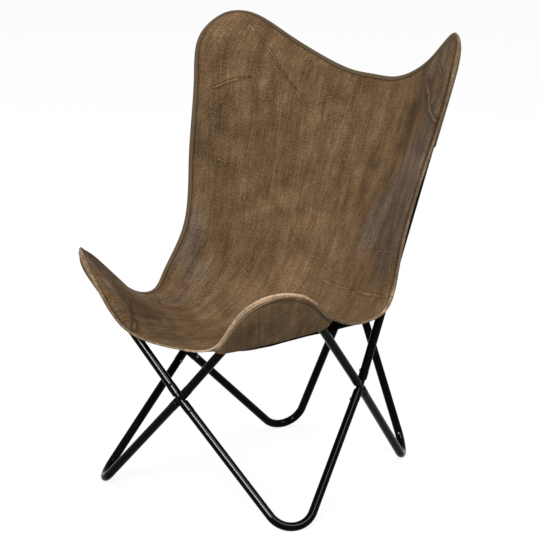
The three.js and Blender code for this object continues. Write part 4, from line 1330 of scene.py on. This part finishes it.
# Pockets behind the wings. Each row has a side, a loop, the share of the free edge where the mouth
# starts, the share of the side edge where it ends, and how far it sags away from the wing's tip
POCKET_COVER = 11.2 * MM
POCKET_DROP = 2.4 * MM
POCKET_OVERHANG = 2.5 * MM
POCKET_SOFTNESS = 1.5 * MM
POCKET_PALE = 35 * MM
POCKET_ROWS = 34
POCKET_CROWDING = 1.5
POCKET_RUN_OUT = 14
POCKET_STATIONS = 70
POCKET_END_DROP = 0.15
POCKET_TONE = 0.51
POCKET_PALER = 0.12
WELT_SHADE = 2.4 * GROOVE_WIDTH
POCKETS = (
    ("pocket_front_right", 1, "front", 0.32, 0.165, 10 * MM),
    ("pocket_front_left", -1, "front", 0.42, 0.16, 1 * MM),
    ("pocket_back_right", 1, "back", 0.55, 0.28, 1 * MM),
    ("pocket_back_left", -1, "back", 0.55, 0.28, 1 * MM),
)

# The tape's back flap on each pocket: how pale it is, from scuffing and painted highlight, at its
# corner on the free edge and at its corner on the side edge, how far it reaches at each as shares of
# the widest, and how far it stands out
FLAPS = {
    "pocket_front_right": (1.6, 0.7, 1.0, 0.15, 0.8), "pocket_front_left": (1.0, 0.6, 0.5, 0.5, 0.6),
    "pocket_back_right": (0.2, 0.5, 0.2, 0.2, 0.4), "pocket_back_left": (0.12, 0.12, 0.7, 0.7, 0.8),
}

# The flap's outline in millimetres, in over the pocket from its edge and out of it, and the shares
# of its length between which its reach changes
FLAP_SECTION = (
    (-4.4, 0.2), (-2.5, 1.3), (0.5, 1.7), (2.6, 1.7), (4.6, 1.5), (5.6, 0.9), (5.6, -0.3), (2.6, -0.3),
    (0.5, -0.3), (-2.5, -0.3),
)
FLAP_TURN = (0.5, 0.68)
FLAP_SWELL = 0.12
FLAP_WANDER = 0.8
FLAP_WAVES = 23
WELT_RISE = 0.4 * WELT_RADIUS
WELT_END = 0.3
WELT_SWELL = 0.08
WELT_TWISTS = 900


def behind_tubes(points, edges, loop, drop):
    """Lays a pocket behind its tube, and lets it run up to the edge, which it meets lower by drop."""
    outwards, lift = loop.locate(points)
    edge_out, edge_lift = loop.locate(edges)
    run = np.clip(outwards / np.maximum(edge_out, POCKET_COVER), 0, 1)
    ceiling = -POCKET_COVER + (edge_lift - drop + POCKET_COVER) * run ** 2
    lowered = ceiling - softened(ceiling - lift, POCKET_SOFTNESS)
    return points + loop.facing * (lowered - lift)[:, None]


def pocket_stations(sign, which, free_share, side_share):
    """Stations from the pocket's corner on the free edge, round the tip, to its corner on the side edge."""
    free_across = np.linspace(free_share, 1, POCKET_STATIONS, endpoint=False)
    from_tip = np.linspace(0, side_share, POCKET_STATIONS + 1)
    end, spine, side = (1.0, SPINE_TOP, 1 - from_tip) if which == "back" else (0.0, SPINE_FRONT, from_tip)
    first = [(sign * across, end, spine) for across in free_across]
    second = [side_station(sign, length) for length in side]
    return np.array(first + second)


def build_pocket(name, sign, which, free_share, side_share, deepest):
    loop = LOOPS[sign][which]
    stations = pocket_stations(sign, which, free_share, side_share)
    edges = on_line(stations, 1.0)
    inwards = unit(in_from_edge(stations, edges, NEAR_EDGE) - edges)
    count = len(stations)
    along = np.linspace(0, 1, count)[:, None]
    sag = 4 * along * (1 - along)
    mouth = edges[0] * (1 - along) + edges[-1] * along - loop.out * sag * deepest
    run_out = np.minimum(np.arange(count), np.arange(count)[::-1]) / POCKET_RUN_OUT
    run_out = np.clip(run_out, 0, 1)
    drop = POCKET_DROP * (POCKET_END_DROP + (1 - POCKET_END_DROP) * run_out)
    start = edges - inwards * POCKET_OVERHANG * run_out[:, None]
    depths = np.linalg.norm(mouth - start, axis=1)
    shares = (np.arange(POCKET_ROWS + 1) / POCKET_ROWS) ** POCKET_CROWDING
    rows = [behind_tubes(start + (mouth - start) * share, edges, loop, drop) for share in shares]
    piece = mesh_object(name + "_sheet", np.vstack(rows), grid_faces(len(rows), count, False))
    down = np.outer(shares, depths).ravel()
    add_cloth_uv(piece, np.stack([np.tile(distances_along(edges), len(rows)), down], axis=1))
    add_attribute(piece, "tone", POCKET_TONE + POCKET_PALER * np.exp(-(down / POCKET_PALE) ** 2))
    # Painted shade beside the welt
    add_attribute(piece, "groove_shade", np.exp(-((down - POCKET_OVERHANG - WELT_PLACE) / WELT_SHADE) ** 2))
    area = close_net(piece, POCKET_WELD)
    piece.data.materials.append(POCKET_FACE)
    piece = thickened(piece, name + "_cloth", CLOTH)
    build_pocket_hem(name, edges, inwards, loop, drop, *FLAPS[name])
    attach(piece, "root")
    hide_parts(name)


def build_pocket_hem(name, edges, inwards, loop, drop, first_wear_and_highlight, last_wear_and_highlight, first_reach, last_reach, bulk):
    """The edge tape's back flap on the pocket, and the pocket's own welt beside it."""
    forwards = unit(np.gradient(edges, axis=0))
    steps = distances_along(edges)
    fine = np.linspace(0, steps[-1], int(steps[-1] / FLAP_STEP))
    edges, inwards, forwards = (at_distances(fine, steps, values) for values in (edges, inwards, forwards))
    drop = np.interp(fine, steps, drop)

    def on_pocket(distance, rise):
        point = behind_tubes(edges + inwards * distance, edges, loop, drop)
        further = behind_tubes(edges + inwards * (distance + CLOTH_STEP), edges, loop, drop)
        away = unit(np.cross(further - point, forwards))
        away = away * np.sign((away * -loop.facing).sum(axis=1))[:, None]
        return point + away * (CLOTH / 2 + rise)

    phase = 2 * math.pi * fine / RIDGE_PITCH + FLAP_WANDER * np.sin(FLAP_WAVES * fine)
    run_out = np.clip(np.minimum(fine, fine[-1] - fine) / FLAP_RUN_OUT, 0, 1)[:, None]
    run_out = run_out * (2 - run_out)
    outline = np.array(FLAP_SECTION) * (1, bulk)
    reach = np.interp(fine / fine[-1], FLAP_TURN, (first_reach, last_reach))
    rows, ridges = [], []
    for distance, rise in outline * MM:
        distance = distance * np.where(distance > 0, reach, 1)
        ridge = 0.5 + 0.5 * np.cos(phase + RIDGE_SLANT * distance)
        swell = (FLAP_SWELL * rise * (ridge - 0.5))[:, None]
        from_edge = (distance[:, None] + TAPE_OUTER) * run_out - TAPE_OUTER
        rows.append(on_pocket(from_edge, (rise + swell) * run_out))
        ridges.append(ridge)
    sides = len(rows)
    band = band_mesh(f"{name}_tape", np.stack(rows, axis=1))
    widths = distances_along(outline) * MM
    add_cloth_uv(band, np.stack([np.tile(widths, len(fine)), np.repeat(fine, sides)], axis=1))
    add_attribute(band, "ridge", np.stack(ridges, axis=1))
    # How scuffed and painted lit the flap is
    add_attribute(band, "wear_and_highlight", np.repeat(np.linspace(first_wear_and_highlight, last_wear_and_highlight, len(fine)), sides))
    close_net(band, 0)
    band.data.materials.append(TAPE)
    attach(band, "root")
    line = on_pocket(WELT_PLACE * reach[:, None] * run_out, WELT_RISE * run_out)
    thinner = WELT_END + (1 - WELT_END) * run_out[:, 0]
    girths = WELT_RADIUS * (1 + WELT_SWELL * np.sin(WELT_TWISTS * fine)) * thinner
    welt = tube_piece(f"{name}_welt", [*zip(line[::2], girths[::2])], WELT, WELT_SIDES)
    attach(welt, "root")


def build_stitches():
    """A row of stitches beside the binding, on the sitter's side of the cloth."""
    stations, _ = round_stations(STITCH_FINENESS)
    edges = on_line(stations, 1.0)
    _, _, reach = hem_steps(edges)
    line = in_from_edge(stations, edges, reach + GROOVE_GAP)
    inwards = smooth_round(unit(line - edges), STITCH_SMOOTHING)
    line = np.vstack([line, line[:1]])
    inwards = np.vstack([inwards, inwards[:1]])
    distances = distances_along(line)
    wanted = np.arange(0, distances[-1] - STITCH_PITCH, STITCH_PITCH)
    points = at_distances(wanted, distances, line)
    runs = unit(np.roll(points, -1, axis=0) - np.roll(points, 1, axis=0))
    facings = unit(np.cross(runs, at_distances(wanted, distances, inwards)))
    ball = bmesh.new()
    bmesh.ops.create_uvsphere(ball, u_segments=8, v_segments=6, radius=1)
    shape = mesh_object("stitch_shape", ())
    ball.to_mesh(shape.data)
    ball.free()
    sizes = {"Stitch Length": STITCH_LENGTH / 2, "Stitch Width": STITCH_THICKNESS / 2,
             "Stitch Height": STITCH_THICKNESS / 2}
    piece = copies_piece("hem_stitches", "Row of stitches", sizes, shape, THREAD,
                         points + facings * (CLOTH / 2), runs, facings)
    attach(piece, "root")


def build_sling():
    panel, area = build_panel()
    tapes = build_tapes()
    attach(panel, "root")
    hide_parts("sling_panel")
    for pocket in POCKETS:
        build_pocket(*pocket)
    build_stitches()


# Stage

FLOOR_HALF = 60
FLOOR_LIT = (0.25, 0.25, 0.25)
FLOOR_SEEN = (0.2, 0.2, 0.2)
FLOOR_GLOW = (0.86, 0.86, 0.86)
WORLD_LIT = 0.5
WORLD_SEEN = 1.0


def seen_rays(tree):
    """1 where a ray comes from the camera or a shiny or clear surface, 0 where it carries light."""
    rays = tree.nodes.new("ShaderNodeLightPath").outputs
    seen = math_node(tree, "MAXIMUM", rays["Is Camera Ray"], rays["Is Glossy Ray"])
    return math_node(tree, "MAXIMUM", seen, rays["Is Transmission Ray"])


def build_floor():
    """A pale floor that shows as white to the camera and still keeps the chair's shadow."""
    material, tree, shader = new_material("pale floor")
    seen = seen_rays(tree)
    connect(tree, shader, Base_Color=mix_colour(tree, seen, FLOOR_LIT, FLOOR_SEEN),
            Emission_Color=mix_colour(tree, seen, (0, 0, 0), FLOOR_GLOW), Emission_Strength=1,
            Roughness=0.95, Specular_IOR_Level=0)
    corners = [(x * FLOOR_HALF, y * FLOOR_HALF, 0) for x, y in ((-1, -1), (1, -1), (1, 1), (-1, 1))]
    floor = mesh_object("floor", corners, [(0, 1, 2, 3)])
    floor.data.materials.append(material)


def build_world():
    world = bpy.data.worlds.new("studio")
    bpy.context.scene.world = world
    world.use_nodes = True
    tree = world.node_tree
    back = tree.nodes["Background"]
    back.inputs["Color"].default_value = (1, 1, 1, 1)
    strength = add_node(tree, "ShaderNodeMapRange", Value=seen_rays(tree), To_Min=WORLD_LIT,
                        To_Max=WORLD_SEEN)
    connect(tree, back, Strength=strength.outputs["Result"])


def add_lamp(name, place, long_way, size, radiance):
    """A soft rectangular lamp aimed at the chair, its longer side along a direction."""
    lamp = bpy.data.lights.new(name, "AREA")
    lamp.shape = "RECTANGLE"
    lamp.size, lamp.size_y = size
    lamp.energy = radiance * math.pi * size[0] * size[1]
    holder = bpy.data.objects.new(name, lamp)
    bpy.context.scene.collection.objects.link(holder)
    back = unit(np.array(place) - LAMP_TARGET)
    sideways = unit(long_way - back * (back @ long_way))
    upwards = np.cross(back, sideways)
    turn = Matrix([Vector(sideways), Vector(upwards), Vector(back)]).transposed()
    holder.matrix_world = Matrix.Translation(Vector(place)) @ turn.to_4x4()
    return holder


# Lamps: where each stands, the way its longer side runs, its two sizes and its radiance. The strips
# are reflected by the enamel alone: one lies across the tubes that fall to the right in the view,
# which show it as a bright line, and the other shows in the bends
LAMP_TARGET = np.array([0.0, -0.1, 0.35])
SHINY_PIECES = bpy.data.collections.new("enamelled pieces")
STRIPS = (
    ("enamel_strip", (4.5, -9.5, 6.6), (0.486, 0.648, 0.588), (5, 3), 220),
    ("enamel_top_strip", (5.8, -1.8, 8.3), (0.58, -0.64, -0.56), (6, 3.4), 32),
)
SOFTBOXES = (
    ("front_softbox", (3.2, -6.8, 4.8), (0.9, 0.43, 0), (3.4, 2.4), 17.5),
    ("side_softbox", (7.6, -8.6, 3.4), (0.7, 0.7, 0), (2.2, 0.8), 16),
    ("left_softbox", (-4.2, -2.4, 3.4), (0.5, -0.8, 0), (2.4, 1.8), 3.2),
    ("top_softbox", (0.4, 1.2, 4.4), (1, 0, 0), (2.6, 2.2), 2.6),
)


def build_lights():
    for name, place, long_way, size, radiance in STRIPS:
        strip = add_lamp(name, place, long_way, size, radiance)
        strip.light_linking.receiver_collection = SHINY_PIECES
        strip.visible_diffuse = False
    for name, place, long_way, size, radiance in SOFTBOXES:
        softbox = add_lamp(name, place, long_way, size, radiance)
        softbox.visible_glossy = False


def build_camera():
    lens = bpy.data.cameras.new("photo_camera")
    lens.lens = CAMERA_LENS
    lens.sensor_width = SENSOR
    camera = bpy.data.objects.new("photo_camera", lens)
    bpy.context.scene.collection.objects.link(camera)
    camera.location = CAMERA_PLACE
    camera.rotation_euler = (math.radians(90 + CAMERA_PITCH), 0, math.radians(CAMERA_YAW))
    bpy.context.scene.camera = camera


build_camera()
build_floor()
build_world()
build_lights()
build_tubes()
build_crossings()
build_screws()
build_sling()
bpy.context.scene.view_settings.view_transform = "Standard"
